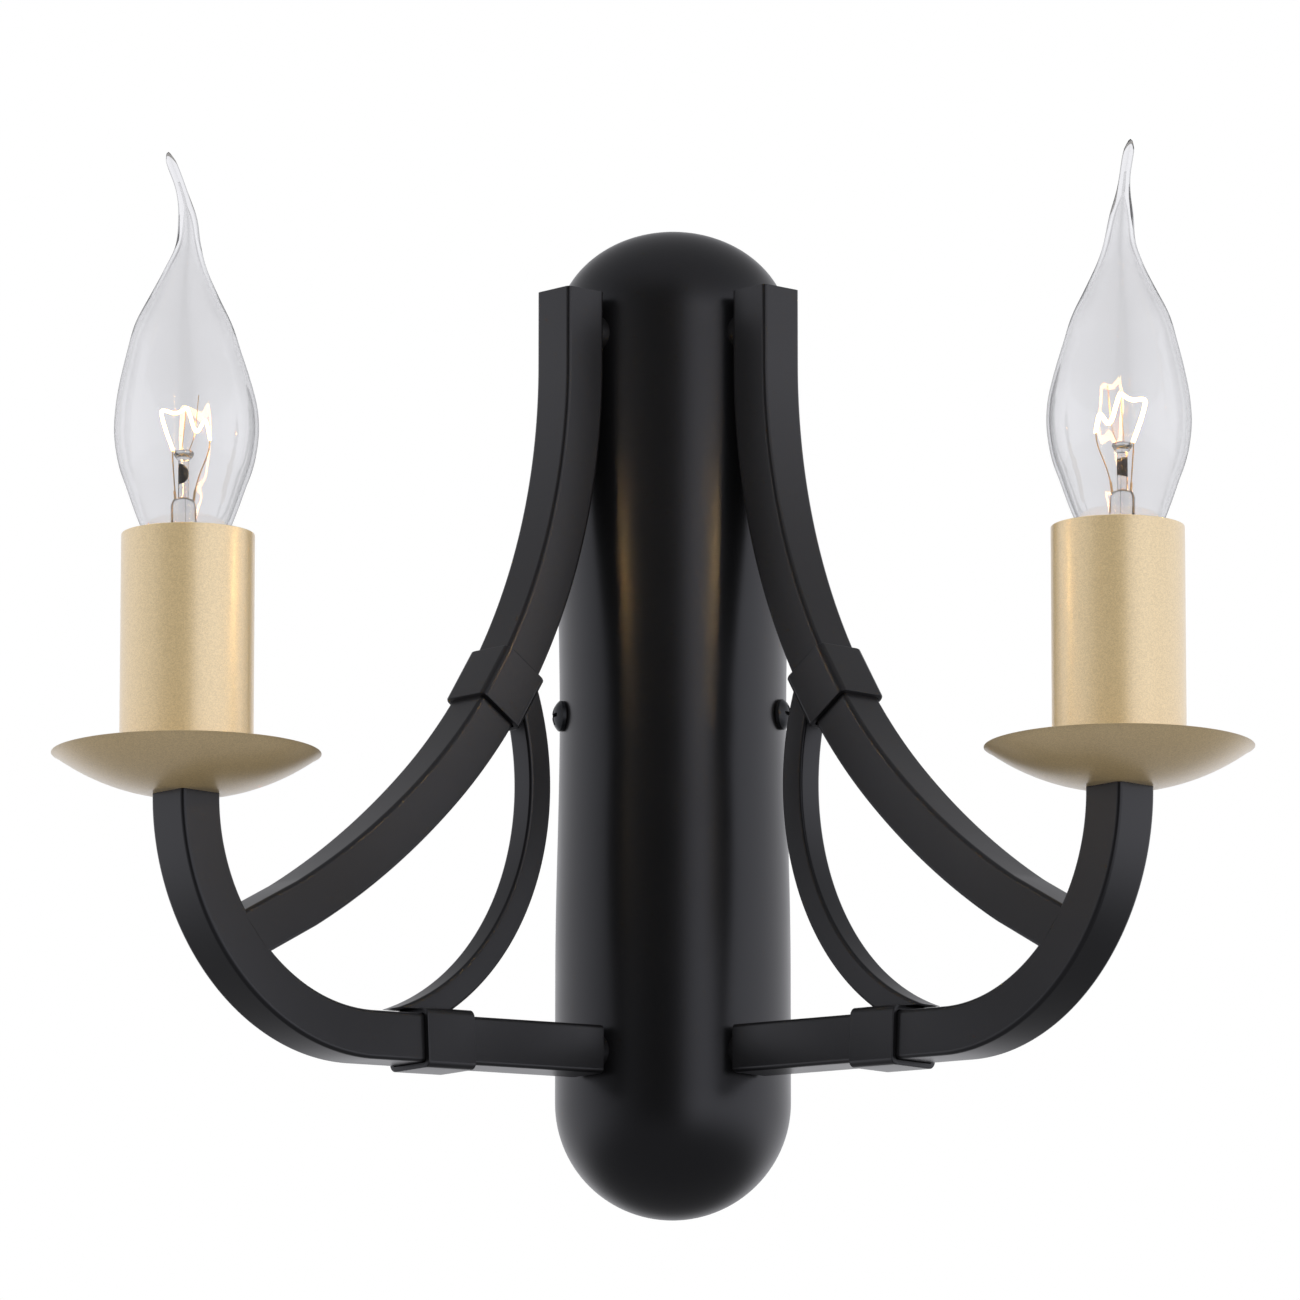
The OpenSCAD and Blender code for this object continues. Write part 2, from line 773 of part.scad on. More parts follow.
module drip_dish(side) {
    color(champagne_gold)
        on_candle(side)
            difference() {
                intersection() {
                    translate([0, 0, dish_c]) sphere(r = dish_curve);
                    translate([0, 0, seat_z]) cylinder(r = dish_r + 5, h = dish_rim - seat_z);
                }
                intersection() {
                    translate([0, 0, dish_c]) sphere(r = dish_in);
                    translate([0, 0, nut_low]) cylinder(r = dish_r + 6, h = 2 * (dish_rim - seat_z));
                }
                translate([0, 0, seat_z - 1]) cylinder(r = nipple_r + fit, h = dish_sheet + 2);
            }
}

module dish_nut(side) {
    color(zinc)
        on_candle(side)
            translate([0, 0, nut_low])
                difference() {
                    hex_prism(nut_flats, nut_t);
                    translate([0, 0, -1]) cylinder(r = nipple_r + fit / 2, h = nut_t + 2);
                }
}

module nipple(side) {
    color(zinc)
        on_candle(side)
            translate([0, 0, nipple_low])
                difference() {
                    cylinder(r = nipple_r, h = nipple_high - nipple_low);
                    translate([0, 0, -1]) cylinder(r = nipple_bore, h = nipple_high - nipple_low + 2);
                }
}

module lampholder(side) {
    floor_top = holder_low + holder_floor;
    room = partition_low - floor_top;
    color(plastic_white)
        on_arm(side)
            translate([candle_reach, 0, 0])
                difference() {
                    translate([0, 0, holder_low]) cylinder(r = holder_r, h = holder_high - holder_low);
                    translate([0, 0, holder_low - 1]) cylinder(r = nipple_r + fit, h = holder_floor + 2);
                    translate([0, 0, floor_top]) cylinder(r = holder_cavity_r, h = room);
                    translate([0, 0, partition_low - 1]) cylinder(r = pin_r + fit, h = partition_t + 2);
                    translate([0, 0, partition_low + partition_t])
                        cylinder(r = holder_bore, h = holder_high - partition_low);
                    translate([-lug_w / 2 - fit, -lug_r - lug_t / 2 - fit, partition_low - 1])
                        cube([lug_w + 2 * fit, lug_t + 2 * fit, partition_t + 2]);
                }
}

// Centre contact and the side lug that the threaded shell stands on
module holder_contact(side) {
    top = bulb_z - fit;
    floor_z = partition_low + partition_t;
    color(brass)
        on_arm(side)
            translate([candle_reach, 0, 0]) {
                rotate_extrude()
                    polygon([
                        [0, contact_low], [2.4, contact_low], [2.4, partition_low], [pin_r, partition_low],
                        [pin_r, floor_z], [3.4, floor_z], [3.4, floor_z + 1], [2, top], [0, top]
                    ]);
                translate([-lug_w / 2, -lug_r - lug_t / 2, contact_low])
                    cube([lug_w, lug_t, shell_low - contact_low]);
            }
}

// Radius of the bulb's cap at a height above its lower contact, and at an angle for its thread;
// it is plain at the thread's root below the thread and at its crest above, so the bulb can be unscrewed
function faded(u) = max(0, min(1, u / thread_fade));
function cap_r(u, a) =
    let (low = faded(u - thread_from), high = faded(thread_from + thread_rise - u))
    thread_r + thread_depth * (1 - high + high * (low * (1 + cos(360 * u / thread_pitch - a)) - 1));
function thread_heights(low, high) = concat(
    [low],
    [for (i = [0:thread_rings]) thread_from + i * thread_rise / thread_rings],
    [high]
);
function circle_points(r, z) = [
    for (j = [0:thread_segments - 1])
        let (a = 360 * j / thread_segments)
        [r * cos(a), r * sin(a), z]
];
function thread_ring(extra, u) = [
    for (j = [0:thread_segments - 1])
        let (a = 360 * j / thread_segments, r = cap_r(u, a) + extra)
        [r * cos(a), r * sin(a), u]
];

// Screw shell of the holder, with the bulb's thread rolled into its inside
module holder_shell(side) {
    low = shell_low - bulb_z;
    high = shell_high - bulb_z;
    outer = [circle_points(shell_out_r, low), circle_points(shell_out_r, high)];
    inner = [for (u = backwards(thread_heights(low, high))) thread_ring(shell_clear, u)];
    color(brass)
        on_candle(side)
            translate([0, 0, bulb_z])
                skin(concat(outer, inner), loop = true);
}

module bulb_cap(side) {
    step = thread_from + thread_rise + 1.6;
    outer = [for (u = thread_heights(thread_from - 0.3, cap_high)) thread_ring(0, u)];
    wide_r = cap_plain_r - cap_wall;
    narrow_r = thread_r - thread_depth - cap_wall;
    inner = [
        circle_points(wide_r, cap_high), circle_points(wide_r, step),
        circle_points(narrow_r, step - 0.5), circle_points(narrow_r, cap_low)
    ];
    color(zinc)
        on_candle(side)
            translate([0, 0, bulb_z])
                skin(concat([circle_points(cap_foot_r, cap_low)], outer, inner), loop = true);
}

module bulb_insulator(side) {
    color(insulator_black)
        on_candle(side)
            translate([0, 0, bulb_z])
                rotate_extrude()
                    polygon([
                        [0, insulator_low], [contact_r + 0.4, insulator_low], [insulator_r, cap_low],
                        [insulator_r, cap_low + 2.5], [0, cap_low + 2.5]
                    ]);
}

module bulb_contact(side) {
    color(zinc)
        on_candle(side)
            translate([0, 0, bulb_z])
                rotate_extrude()
                    polygon([
                        [0, 0], [contact_r - 0.8, 0], [contact_r, 0.6], [contact_r, insulator_low],
                        [0, insulator_low]
                    ]);
}

// Glass of the bulb: one skin from the inside of the tip down, round the neck's edge and up outside
function lean_at(u) = u < glass_lean[0][0] ? 0 : lookup(u, glass_lean);
function glass_ring(r, u, heading) = [
    for (j = [0:glass_segments - 1])
        let (a = 360 * j / glass_segments)
        [r * cos(a) + lean_at(u) * cos(heading), r * sin(a) + lean_at(u) * sin(heading), u]
];
module bulb_glass(side) {
    heading = side < 0 ? left_tip_heading : right_tip_heading;
    hollow = [
        for (i = [13:-1:0])
            glass_ring(glass_rows[i][1] * bulb_scale - glass_wall, glass_rows[i][0], heading)
    ];
    skirt = [
        glass_ring(glass_neck_r - glass_wall, cap_high, heading),
        glass_ring(glass_neck_r - glass_wall, neck_low, heading),
        glass_ring(glass_neck_r, neck_low, heading),
        glass_ring(glass_neck_r, cap_high, heading)
    ];
    outside = [
        for (p = glass_rows)
            glass_ring(p[1] * (p[0] < cap_high + 1 ? 1 : bulb_scale), p[0], heading)
    ];
    color(glass_clear)
        on_candle(side)
            translate([0, 0, bulb_z])
                skin(concat([glass_ring(0.6, 99.5, heading)], hollow, skirt, outside));
}

// Glass foot and rod inside the bulb, with the bead at its top
module bulb_stem(side) {
    rod_r = stem_rod_r;
    flare_r = stem_flare_r;
    color(glass_clear)
        on_candle(side)
            translate([0, 0, bulb_z])
                rotate_extrude()
                    polygon([
                        [0, neck_low + 6], [flare_r - 1, neck_low], [flare_r, neck_low],
                        [flare_r - 0.4, cap_high], [3.1, cap_high + 4], [3.1, cap_high + 10],
                        [rod_r, cap_high + 12], [rod_r, stem_high - 1.2], [2.1, stem_high - 0.9],
                        [2.1, stem_high - 0.2], [1.7, stem_high], [0, stem_high]
                    ]);
}

// Round wire between two points
module rod_between(a, b, r) {
    d = b - a;
    translate(a)
        rotate([0, acos(d[2] / norm(d)), atan2(d[1], d[0])])
            cylinder(r = r, h = norm(d));
}

module bulb_leads(side) {
    color(lead_copper)
        on_candle(side)
            translate([0, 0, bulb_z]) {
                rod_between([-lead_apart, 0, lead_low], left_lead_top - [0, 0, fit], lead_r);
                rod_between([lead_apart, 0, lead_low], right_lead_top - [0, 0, fit], lead_r);
            }
}

// Filament: a wire through its peaks, rounded at each of them
function unit(v) = v / norm(v);
function rounded_peak(a, p, b) =
    let (u = unit(a - p), v = unit(b - p), half = acos(u * v) / 2, axis = unit(u + v), across = unit(v - u))
    [
        for (k = [-2:2])
            let (t = k * (90 - half) / 2)
            p + coil_bend_r * ((1 - cos(t)) * axis + sin(t) * across)
    ];
function coil_path() = concat(
    [coil_peaks[0]],
    [
        for (i = [1:len(coil_peaks) - 2])
            each rounded_peak(coil_peaks[i - 1], coil_peaks[i], coil_peaks[i + 1])
    ],
    [coil_peaks[len(coil_peaks) - 1]]
);
function coil_rings(path) = [
    for (i = [0:len(path) - 1])
        let (
            ahead = unit(path[min(i + 1, len(path) - 1)] - path[max(i - 1, 0)]),
            aside = unit(cross([0, 1, 0], ahead)),
            upward = cross(ahead, aside)
        )
        [
            for (j = [0:coil_sides - 1])
                let (a = 360 * j / coil_sides)
                path[i] + coil_r * (cos(a) * aside + sin(a) * upward)
        ]
];
module bulb_filament(side) {
    color(filament_glow)
        on_candle(side)
            translate([0, 0, bulb_z])
                skin(coil_rings(coil_path()));
}

// Sleeve over the lamp holder, standing in the dish
module candle_sleeve(side) {
    color(champagne_gold)
        on_candle(side)
            translate([0, 0, sleeve_low])
                difference() {
                    cylinder(r = sleeve_r, h = sleeve_len);
                    translate([0, 0, -1]) cylinder(r = sleeve_r - sleeve_wall, h = sleeve_len + 2);
                }
}

// Two wires of an arm, from the terminal block to the holder's contacts. Their lower part is drawn
// in the arm's sloping frame, up to the seat; one wire then goes to the centre contact, the other to the lug
module arm_wires(side) {
    top = contact_low - fit / 2;
    rise = (block_low + wire_hole_depth - 1 - wire_bend_c[1]) / cos(lower_droop);
    run = norm(lower_bend_end - wire_turn_p);
    tall = 2 * lower_bend_r;
    upper_low = lower_c[1] + fit / 2;
    swing_r = 2.4;
    swing_low = nipple_high + fit;
    swing_len = lug_r - wire_gap - 2 * swing_r;
    color(wire_brown)
        on_arm(side) {
            for (t = [-1, 1]) {
                translate([0, t * wire_gap, 0]) {
                    difference() {
                        translate([lower_c[0], 0, lower_c[1]])
                            rotate([0, lower_droop, 0]) {
                                rotate([90, 0, 0])
                                    rotate_extrude(start = -90, angle = 90 + lower_droop + 2, $fn = 120)
                                        translate([lower_bend_r, 0])
                                            circle(r = wire_r);
                                translate([0, 0, -lower_bend_r])
                                    rotate([0, -90, 0])
                                        linear_extrude(run)
                                            circle(r = wire_r);
                                translate([-run, 0, wire_bend_r - lower_bend_r])
                                    rotate([90, 0, 0])
                                        rotate_extrude(start = 180, angle = 90)
                                            translate([wire_bend_r, 0])
                                                circle(r = wire_r);
                                translate([-run - wire_bend_r, 0, wire_bend_r - lower_bend_r])
                                    linear_extrude(rise)
                                        circle(r = wire_r);
                            }
                        translate([tall, -tall / 2, lower_c[1] - fit / 2]) cube([tall, tall, tall]);
                    }
                    straight([candle_reach, upper_low], 90, (t > 0 ? top : swing_low) - upper_low)
                        circle(r = wire_r);
                }
            }
            translate([candle_reach, 0, 0])
                rotate([0, 0, -90]) {
                    bend([wire_gap + swing_r, swing_low], swing_r, 90, 90) circle(r = wire_r);
                    straight([wire_gap + swing_r, swing_low + swing_r], 0, swing_len) circle(r = wire_r);
                    bend([lug_r - swing_r, swing_low + 2 * swing_r], swing_r, 270, 90) circle(r = wire_r);
                    straight([lug_r, swing_low + 2 * swing_r], 90, top - swing_low - 2 * swing_r)
                        circle(r = wire_r);
                }
        }
}

canopy();
wall_bracket();
canopy_screws();
earth_screw();
earth_lead();
terminal_block();
terminal_screws();
upper_spacers();
upper_arm_screws();
upper_arm_nuts();
lower_spacers();
lower_stems();
lower_stem_nuts();
lower_arm(-1);  // left_lower_arm
upper_arm(-1);  // left_upper_arm
upper_collar(-1);  // left_upper_collar
lower_collar(-1);  // left_lower_collar
brace(-1);  // left_brace
end_plate(-1);  // left_end_plate
top_plug(-1);  // left_top_plug
seat_plug(-1);  // left_seat_plug
drip_dish(-1);  // left_drip_dish
dish_nut(-1);  // left_dish_nut
nipple(-1);  // left_nipple
lampholder(-1);  // left_lampholder
holder_shell(-1);  // left_holder_shell
holder_contact(-1);  // left_holder_contact
candle_sleeve(-1);  // left_candle_sleeve
arm_wires(-1);  // left_arm_wires
bulb_glass(-1);  // left_bulb_glass
bulb_cap(-1);  // left_bulb_cap
bulb_insulator(-1);  // left_bulb_insulator
bulb_contact(-1);  // left_bulb_contact
bulb_stem(-1);  // left_bulb_stem
bulb_leads(-1);  // left_bulb_leads
bulb_filament(-1);  // left_bulb_filament
lower_arm(1);  // right_lower_arm
upper_arm(1);  // right_upper_arm
upper_collar(1);  // right_upper_collar
lower_collar(1);  // right_lower_collar
brace(1);  // right_brace
end_plate(1);  // right_end_plate
top_plug(1);  // right_top_plug
seat_plug(1);  // right_seat_plug
drip_dish(1);  // right_drip_dish
dish_nut(1);  // right_dish_nut
nipple(1);  // right_nipple
lampholder(1);  // right_lampholder
holder_shell(1);  // right_holder_shell
holder_contact(1);  // right_holder_contact
candle_sleeve(1);  // right_candle_sleeve
arm_wires(1);  // right_arm_wires
bulb_glass(1);  // right_bulb_glass
bulb_cap(1);  // right_bulb_cap
bulb_insulator(1);  // right_bulb_insulator
bulb_contact(1);  // right_bulb_contact
bulb_stem(1);  // right_bulb_stem
bulb_leads(1);  // right_bulb_leads
bulb_filament(1);  // right_bulb_filament
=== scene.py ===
import json
from math import acos, atan2, cos, exp, hypot, pi, radians, sin, sqrt, tan

import bmesh
import bpy
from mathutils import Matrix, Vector


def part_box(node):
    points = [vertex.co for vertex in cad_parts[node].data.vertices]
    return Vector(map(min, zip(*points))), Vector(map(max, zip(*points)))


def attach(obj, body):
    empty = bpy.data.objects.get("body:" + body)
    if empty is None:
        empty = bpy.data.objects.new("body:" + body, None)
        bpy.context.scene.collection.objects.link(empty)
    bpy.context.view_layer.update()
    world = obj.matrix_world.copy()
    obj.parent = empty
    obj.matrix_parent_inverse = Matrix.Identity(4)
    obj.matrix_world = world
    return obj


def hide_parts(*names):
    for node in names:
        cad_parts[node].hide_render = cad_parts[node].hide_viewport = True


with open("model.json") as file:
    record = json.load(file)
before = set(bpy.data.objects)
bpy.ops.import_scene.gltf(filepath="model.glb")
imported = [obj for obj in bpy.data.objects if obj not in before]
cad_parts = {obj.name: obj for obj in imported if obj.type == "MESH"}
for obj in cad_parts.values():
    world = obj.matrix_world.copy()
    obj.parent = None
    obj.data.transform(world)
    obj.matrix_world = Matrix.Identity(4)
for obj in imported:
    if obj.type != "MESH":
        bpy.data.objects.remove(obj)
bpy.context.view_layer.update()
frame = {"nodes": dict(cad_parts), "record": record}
nodes = frame["nodes"]

# ------------------------------------------------------------------ canopy
# The back plate is pressed steel sheet, half round in plan with rounded ends. Its two side screws
# draw it in slightly. It is powder coated in a satin black, which leaves a very fine, soft grain.
MM = 0.001
CANOPY_R = 29.4
CANOPY_TOP = 124.7
CANOPY_CROWN = 24.6
CANOPY_BOTTOM = -126.0
CANOPY_SHEET = 1.2
PINCH = 1.0  # how far the side screws draw the sides in
PINCH_REACH = 64.0  # and how far above and below them
ARC_STEP = 3  # degrees between points of the rounded ends
SIDE_ROWS = 60
TURN_STEPS = 96
CREASE_ANGLE = 35.0  # edges bent more than this, in degrees, look sharp


def linear(hex_colour):
    """An sRGB hex colour as the linear RGBA that shader sockets take."""
    parts = [int(hex_colour[i : i + 2], 16) / 255 for i in (1, 3, 5)]
    lin = [c / 12.92 if c <= 0.04045 else ((c + 0.055) / 1.055) ** 2.4 for c in parts]
    return (*lin, 1.0)


def add_node(tree, kind, links=(), **settings):
    """Adds a node; settings name its properties or sockets, links are (output socket, input name)."""
    node = tree.nodes.new(kind)
    for name, value in settings.items():
        if hasattr(node, name):
            setattr(node, name, value)
        else:
            node.inputs[name.replace("_", " ").strip()].default_value = value
    for output, name in links:
        tree.links.new(output, node.inputs[name])
    return node


def new_finish(name, **base):
    """A material with its main shader; base sets that shader's own sockets."""
    mat = bpy.data.materials.new(name)
    mat.use_nodes = True
    tree = mat.node_tree
    bsdf = tree.nodes["Principled BSDF"]
    for key, value in base.items():
        bsdf.inputs[key.replace("_", " ")].default_value = value
    return mat, tree, bsdf


def object_noise(tree, scale, detail):
    """Noise fixed to the object; scale is in cells a metre."""
    place = add_node(tree, "ShaderNodeTexCoord")
    noise = add_node(
        tree, "ShaderNodeTexNoise", [(place.outputs["Object"], "Vector")], Scale=scale, Detail=detail
    )
    return noise.outputs["Fac"]


def vary_gloss(tree, bsdf, pattern, low, high):
    """Lets a pattern of 0 to 1 move the roughness between two values."""
    gloss = add_node(tree, "ShaderNodeMapRange", [(pattern, "Value")], To_Min=low, To_Max=high)
    tree.links.new(gloss.outputs["Result"], bsdf.inputs["Roughness"])


def add_relief(tree, bsdf, height, strength, depth_mm):
    """Fine relief from a pattern of 0 to 1."""
    bump = add_node(
        tree, "ShaderNodeBump", [(height, "Height")], Strength=strength, Distance=depth_mm * MM
    )
    tree.links.new(bump.outputs["Normal"], bsdf.inputs["Normal"])


def powder_coat(name, colour, rough, grain_mm, depth_mm):
    """Satin powder coat: a fine orange-peel grain, and gloss that varies over wider patches."""
    mat, tree, bsdf = new_finish(
        name, Base_Color=linear(colour), Roughness=rough, Specular_Tint=linear("#f5f6ff")
    )
    grain = object_noise(tree, 1 / (grain_mm * MM), 3.0)
    patches = object_noise(tree, 1 / (grain_mm * MM) / 40, 2.0)
    vary_gloss(tree, bsdf, patches, rough - 0.04, rough + 0.04)
    add_relief(tree, bsdf, grain, 1.0, depth_mm)
    return mat


black_powder = powder_coat(
    "satin_black_powder_coat", "#101011", rough=0.3, grain_mm=0.35, depth_mm=0.004
)


def make_piece(name, verts_mm, faces, mat, cad, body="root"):
    """A piece from points in millimetres that stands for the CAD nodes named and rides on a body."""
    mesh = bpy.data.meshes.new(name)
    mesh.from_pydata([Vector(v) * MM for v in verts_mm], [], faces)
    mesh.update()
    mesh.shade_smooth()
    mesh.set_sharp_from_angle(angle=radians(CREASE_ANGLE))
    obj = bpy.data.objects.new(name, mesh)
    bpy.context.scene.collection.objects.link(obj)
    mesh.materials.append(mat)
    even = obj.modifiers.new("flat_faces_stay_flat", "WEIGHTED_NORMAL")
    even.keep_sharp = True
    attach(obj, body)
    if cad:
        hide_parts(*([cad] if isinstance(cad, str) else cad))
    return obj


def fix_normals(obj):
    """Turns every face of a closed mesh outwards."""
    bm = bmesh.new()
    bm.from_mesh(obj.data)
    bmesh.ops.recalc_face_normals(bm, faces=bm.faces)
    bm.to_mesh(obj.data)
    bm.free()


def spin(profile, steps, start=0.0, turn=360.0, closed_profile=True):
    """Points and faces of a profile of (r, z) turned about Z, counter-clockwise seen from above."""
    full = turn == 360.0
    count = steps if full else steps + 1
    verts = []
    for j in range(count):
        a = radians(start + turn * j / steps)
        verts += [(r * cos(a), r * sin(a), z) for r, z in profile]
    n = len(profile)
    rows = n if closed_profile else n - 1
    faces = []
    for j in range(steps):
        for i in range(rows):
            k, m = (i + 1) % n, (j + 1) % count
            faces.append((j * n + i, m * n + i, m * n + k, j * n + k))
    if not full and closed_profile:
        faces.append(tuple(range(n)))
        faces.append(tuple(reversed(range((count - 1) * n, count * n))))
    return verts, faces


def canopy_outline(inset):
    """Half outline of the canopy, from the bottom pole up to the top pole."""
    low = CANOPY_BOTTOM + CANOPY_R
    top = CANOPY_TOP - CANOPY_CROWN
    r = CANOPY_R - inset
    points = [(r * sin(radians(a)), low - r * cos(radians(a))) for a in range(0, 90, ARC_STEP)]
    for i in range(SIDE_ROWS + 1):
        z = low + (top - low) * i / SIDE_ROWS
        pinch = PINCH * cos(pi / 2 * z / PINCH_REACH) ** 2 if abs(z) < PINCH_REACH else 0.0
        points.append((r - pinch, z))
    crown = CANOPY_CROWN - inset
    points += [
        (r * cos(radians(a)), top + crown * sin(radians(a))) for a in range(ARC_STEP, 91, ARC_STEP)
    ]
    return points


outer = canopy_outline(0)
inner = canopy_outline(CANOPY_SHEET)
verts, faces = spin(outer + inner[::-1], TURN_STEPS, 180, 180)
canopy = make_piece("canopy_shell", verts, faces, black_powder, "canopy")
fix_normals(canopy)

# ------------------------------------------------------------------ arms
# Each arm is bent from square steel tube with slightly rounded corners and welded to the lower
# arm; the tube's ends are plugged flush. The same powder coat covers tube, welds and plugs.
ARM_ANGLE = 45.0  # between an arm's plane and the wall, in degrees
ARM_APEX = 3.7  # how far in front of the wall the arms' planes meet
TUBE = 12.0
TUBE_CORNER = 1.1
CANDLE_REACH = 158.0
SEAT_Z = -36.85
LOWER_R = 53.0
DROOP = 2.75  # slope of the lower arm's straight part, in degrees
ARM_GAP = 1.8  # length of the spacers between canopy and arms
LEAN = ARM_APEX * sin(radians(ARM_ANGLE))
LOWER_END = sqrt((CANOPY_R + ARM_GAP) ** 2 - LEAN**2) - ARM_APEX * cos(radians(ARM_ANGLE))
UPPER_INSET = LOWER_END + TUBE / 2
UPPER_TOP = CANOPY_TOP - 20.7
UPPER_STRAIGHT = 19.0
UPPER_R1 = 158.0
UPPER_R2 = 220.0
UPPER_BEND = 225.0  # heading on the bends' circles where the first gives way to the second
UPPER_CLOSE = 240.0  # and where the second comes near the lower arm
WELD_SINK = 0.01


def arm_point(side, out, across, z):
    """A point in the CAD's frame, by its distance out along an arm's plane, across it and up."""
    a = radians(ARM_ANGLE)
    x = out * sin(a) + across * cos(a)
    y = -ARM_APEX - out * cos(a) + across * sin(a)
    return (side * x, y, z)


def rounded_square(width, corner, steps=5):
    """Outline of a square with rounded corners, counter-clockwise."""
    points = []
    for q, (sx, sy) in enumerate(((1, 1), (-1, 1), (-1, -1), (1, -1))):
        x, y = sx * (width / 2 - corner), sy * (width / 2 - corner)
        for k in range(steps + 1):
            a = radians(90 * q + 90 * k / steps)
            points.append((x + corner * cos(a), y + corner * sin(a)))
    return points


def arc_path(cx, cz, r, start, stop, steps):
    """Points (out, z) and their outward directions round an arc in an arm's plane, in degrees."""
    path = []
    for i in range(steps + 1):
        a = radians(start + (stop - start) * i / steps)
        path.append(((cx + r * cos(a), cz + r * sin(a)), (cos(a), sin(a))))
    return path


def sweep(side, path, outlines):
    """Closed skin through outlines set along a path; their points are (along the normal, across)."""
    verts, faces = [], []
    n = len(outlines[0])
    for (p, nrm), outline in zip(path, outlines):
        verts += [arm_point(side, p[0] + u * nrm[0], v, p[1] + u * nrm[1]) for u, v in outline]
    for i in range(len(path) - 1):
        for j in range(n):
            k = (j + 1) % n
            faces.append((i * n + j, i * n + k, (i + 1) * n + k, (i + 1) * n + j))
    faces.append(tuple(reversed(range(n))))
    faces.append(tuple(range((len(path) - 1) * n, len(path) * n)))
    return verts, faces


lower_c = (CANDLE_REACH - LOWER_R, SEAT_Z - 0.5)
lower_dir = (sin(radians(DROOP)), cos(radians(DROOP)))
lower_corner = (lower_c[0] - LOWER_R * lower_dir[0], lower_c[1] - LOWER_R * lower_dir[1])


def lower_height(out):
    """Height of the lower arm's middle line along its straight part."""
    return lower_corner[1] + (lower_corner[0] - out) * tan(radians(DROOP))


upper_c1 = (UPPER_INSET + UPPER_R1, UPPER_TOP - UPPER_STRAIGHT)
widening = (UPPER_R2 - UPPER_R1) * sqrt(0.5)
upper_c2 = (upper_c1[0] + widening, upper_c1[1] + widening)

tube_outline = rounded_square(TUBE, TUBE_CORNER)
for side, name in ((-1, "left"), (1, "right")):
    # Lower arm: its inner end is cut upright, its outer end carries the candle
    path = [((LOWER_END, lower_height(LOWER_END)), (0.0, -1.0))]
    path += arc_path(*lower_c, LOWER_R, -(90 + DROOP), 0, 60)
    path.append(((CANDLE_REACH, SEAT_Z), (1.0, 0.0)))
    verts, faces = sweep(side, path, [tube_outline] * len(path))
    replaced = (name + "_lower_arm", name + "_end_plate")
    arm = make_piece(name + "_lower_tube", verts, faces, black_powder, replaced)
    fix_normals(arm)

    # Upper arm: each corner line of its last stretch runs on until it meets the lower arm's bend
    path = [
        ((UPPER_INSET, UPPER_TOP), (-1.0, 0.0)),
        ((UPPER_INSET, UPPER_TOP - UPPER_STRAIGHT), (-1.0, 0.0)),
    ]
    path += arc_path(*upper_c1, UPPER_R1, 180, UPPER_BEND, 50)[1:]
    path += arc_path(*upper_c2, UPPER_R2, UPPER_BEND, UPPER_CLOSE, 24)[1:]
    verts, faces = sweep(side, path, [tube_outline] * len(path))
    meet = LOWER_R - TUBE / 2 + TUBE_CORNER - WELD_SINK
    apart = hypot(upper_c2[0] - lower_c[0], upper_c2[1] - lower_c[1])
    toward = atan2(lower_c[1] - upper_c2[1], lower_c[0] - upper_c2[0])
    ends = []
    for u, v in tube_outline:
        r = UPPER_R2 + u
        a = toward + acos((r * r + apart * apart - meet * meet) / (2 * r * apart))
        ends.append(arm_point(side, upper_c2[0] + r * cos(a), v, upper_c2[1] + r * sin(a)))
    verts[-len(ends) :] = ends
    replaced = (name + "_upper_arm", name + "_top_plug")
    arm = make_piece(name + "_upper_tube", verts, faces, black_powder, replaced)
    fix_normals(arm)

# ------------------------------------------------------------------ collars and braces
# A short square steel sleeve sits on each arm, and a thinner bent steel tube is welded between the
# two. The brace is sawn to fit both, and its hollow foot shows past the lower sleeve.
COLLAR = 14.7
COLLAR_CORNER = 1.7
COLLAR_LEN = 15.4
COLLAR_EDGE = 0.35  # softening of the mouth's outer edge
COLLAR_MOUTH = (  # distance in from the end, growth of the width, depth into the wall
    (0.3, 0.0, 1.2),
    (0.0, -0.5, 0.95),
    (0.0, -2 * COLLAR_EDGE, 0.0),
    (0.3 * COLLAR_EDGE, -0.7 * COLLAR_EDGE, 0.0),
    (COLLAR_EDGE, 0.0, 0.0),
)
UPPER_COLLAR_TURN = 32.5  # place along the upper arm's first bend, in degrees
LOWER_COLLAR_OUT = 79.3
BRACE = 6.8
BRACE_CORNER = 0.9
BRACE_WALL = 1.0
BRACE_R = 66.5
BRACE_TOP_SHIFT = 4.2  # the brace starts this far above its collar's middle
BRACE_FOOT_SHIFT = 3.7  # and ends this far outwards of the lower collar's middle
BRACE_TOP_NEAR, BRACE_FOOT_NEAR = radians(160), radians(245)
BRACE_STEPS = 60

turn = radians(UPPER_COLLAR_TURN)
upper_mid = (upper_c1[0] - UPPER_R1 * cos(turn), upper_c1[1] - UPPER_R1 * sin(turn))
upper_along = (sin(turn), -cos(turn))
lower_mid = (LOWER_COLLAR_OUT, lower_height(LOWER_COLLAR_OUT))
lower_along = (cos(radians(DROOP)), -sin(radians(DROOP)))


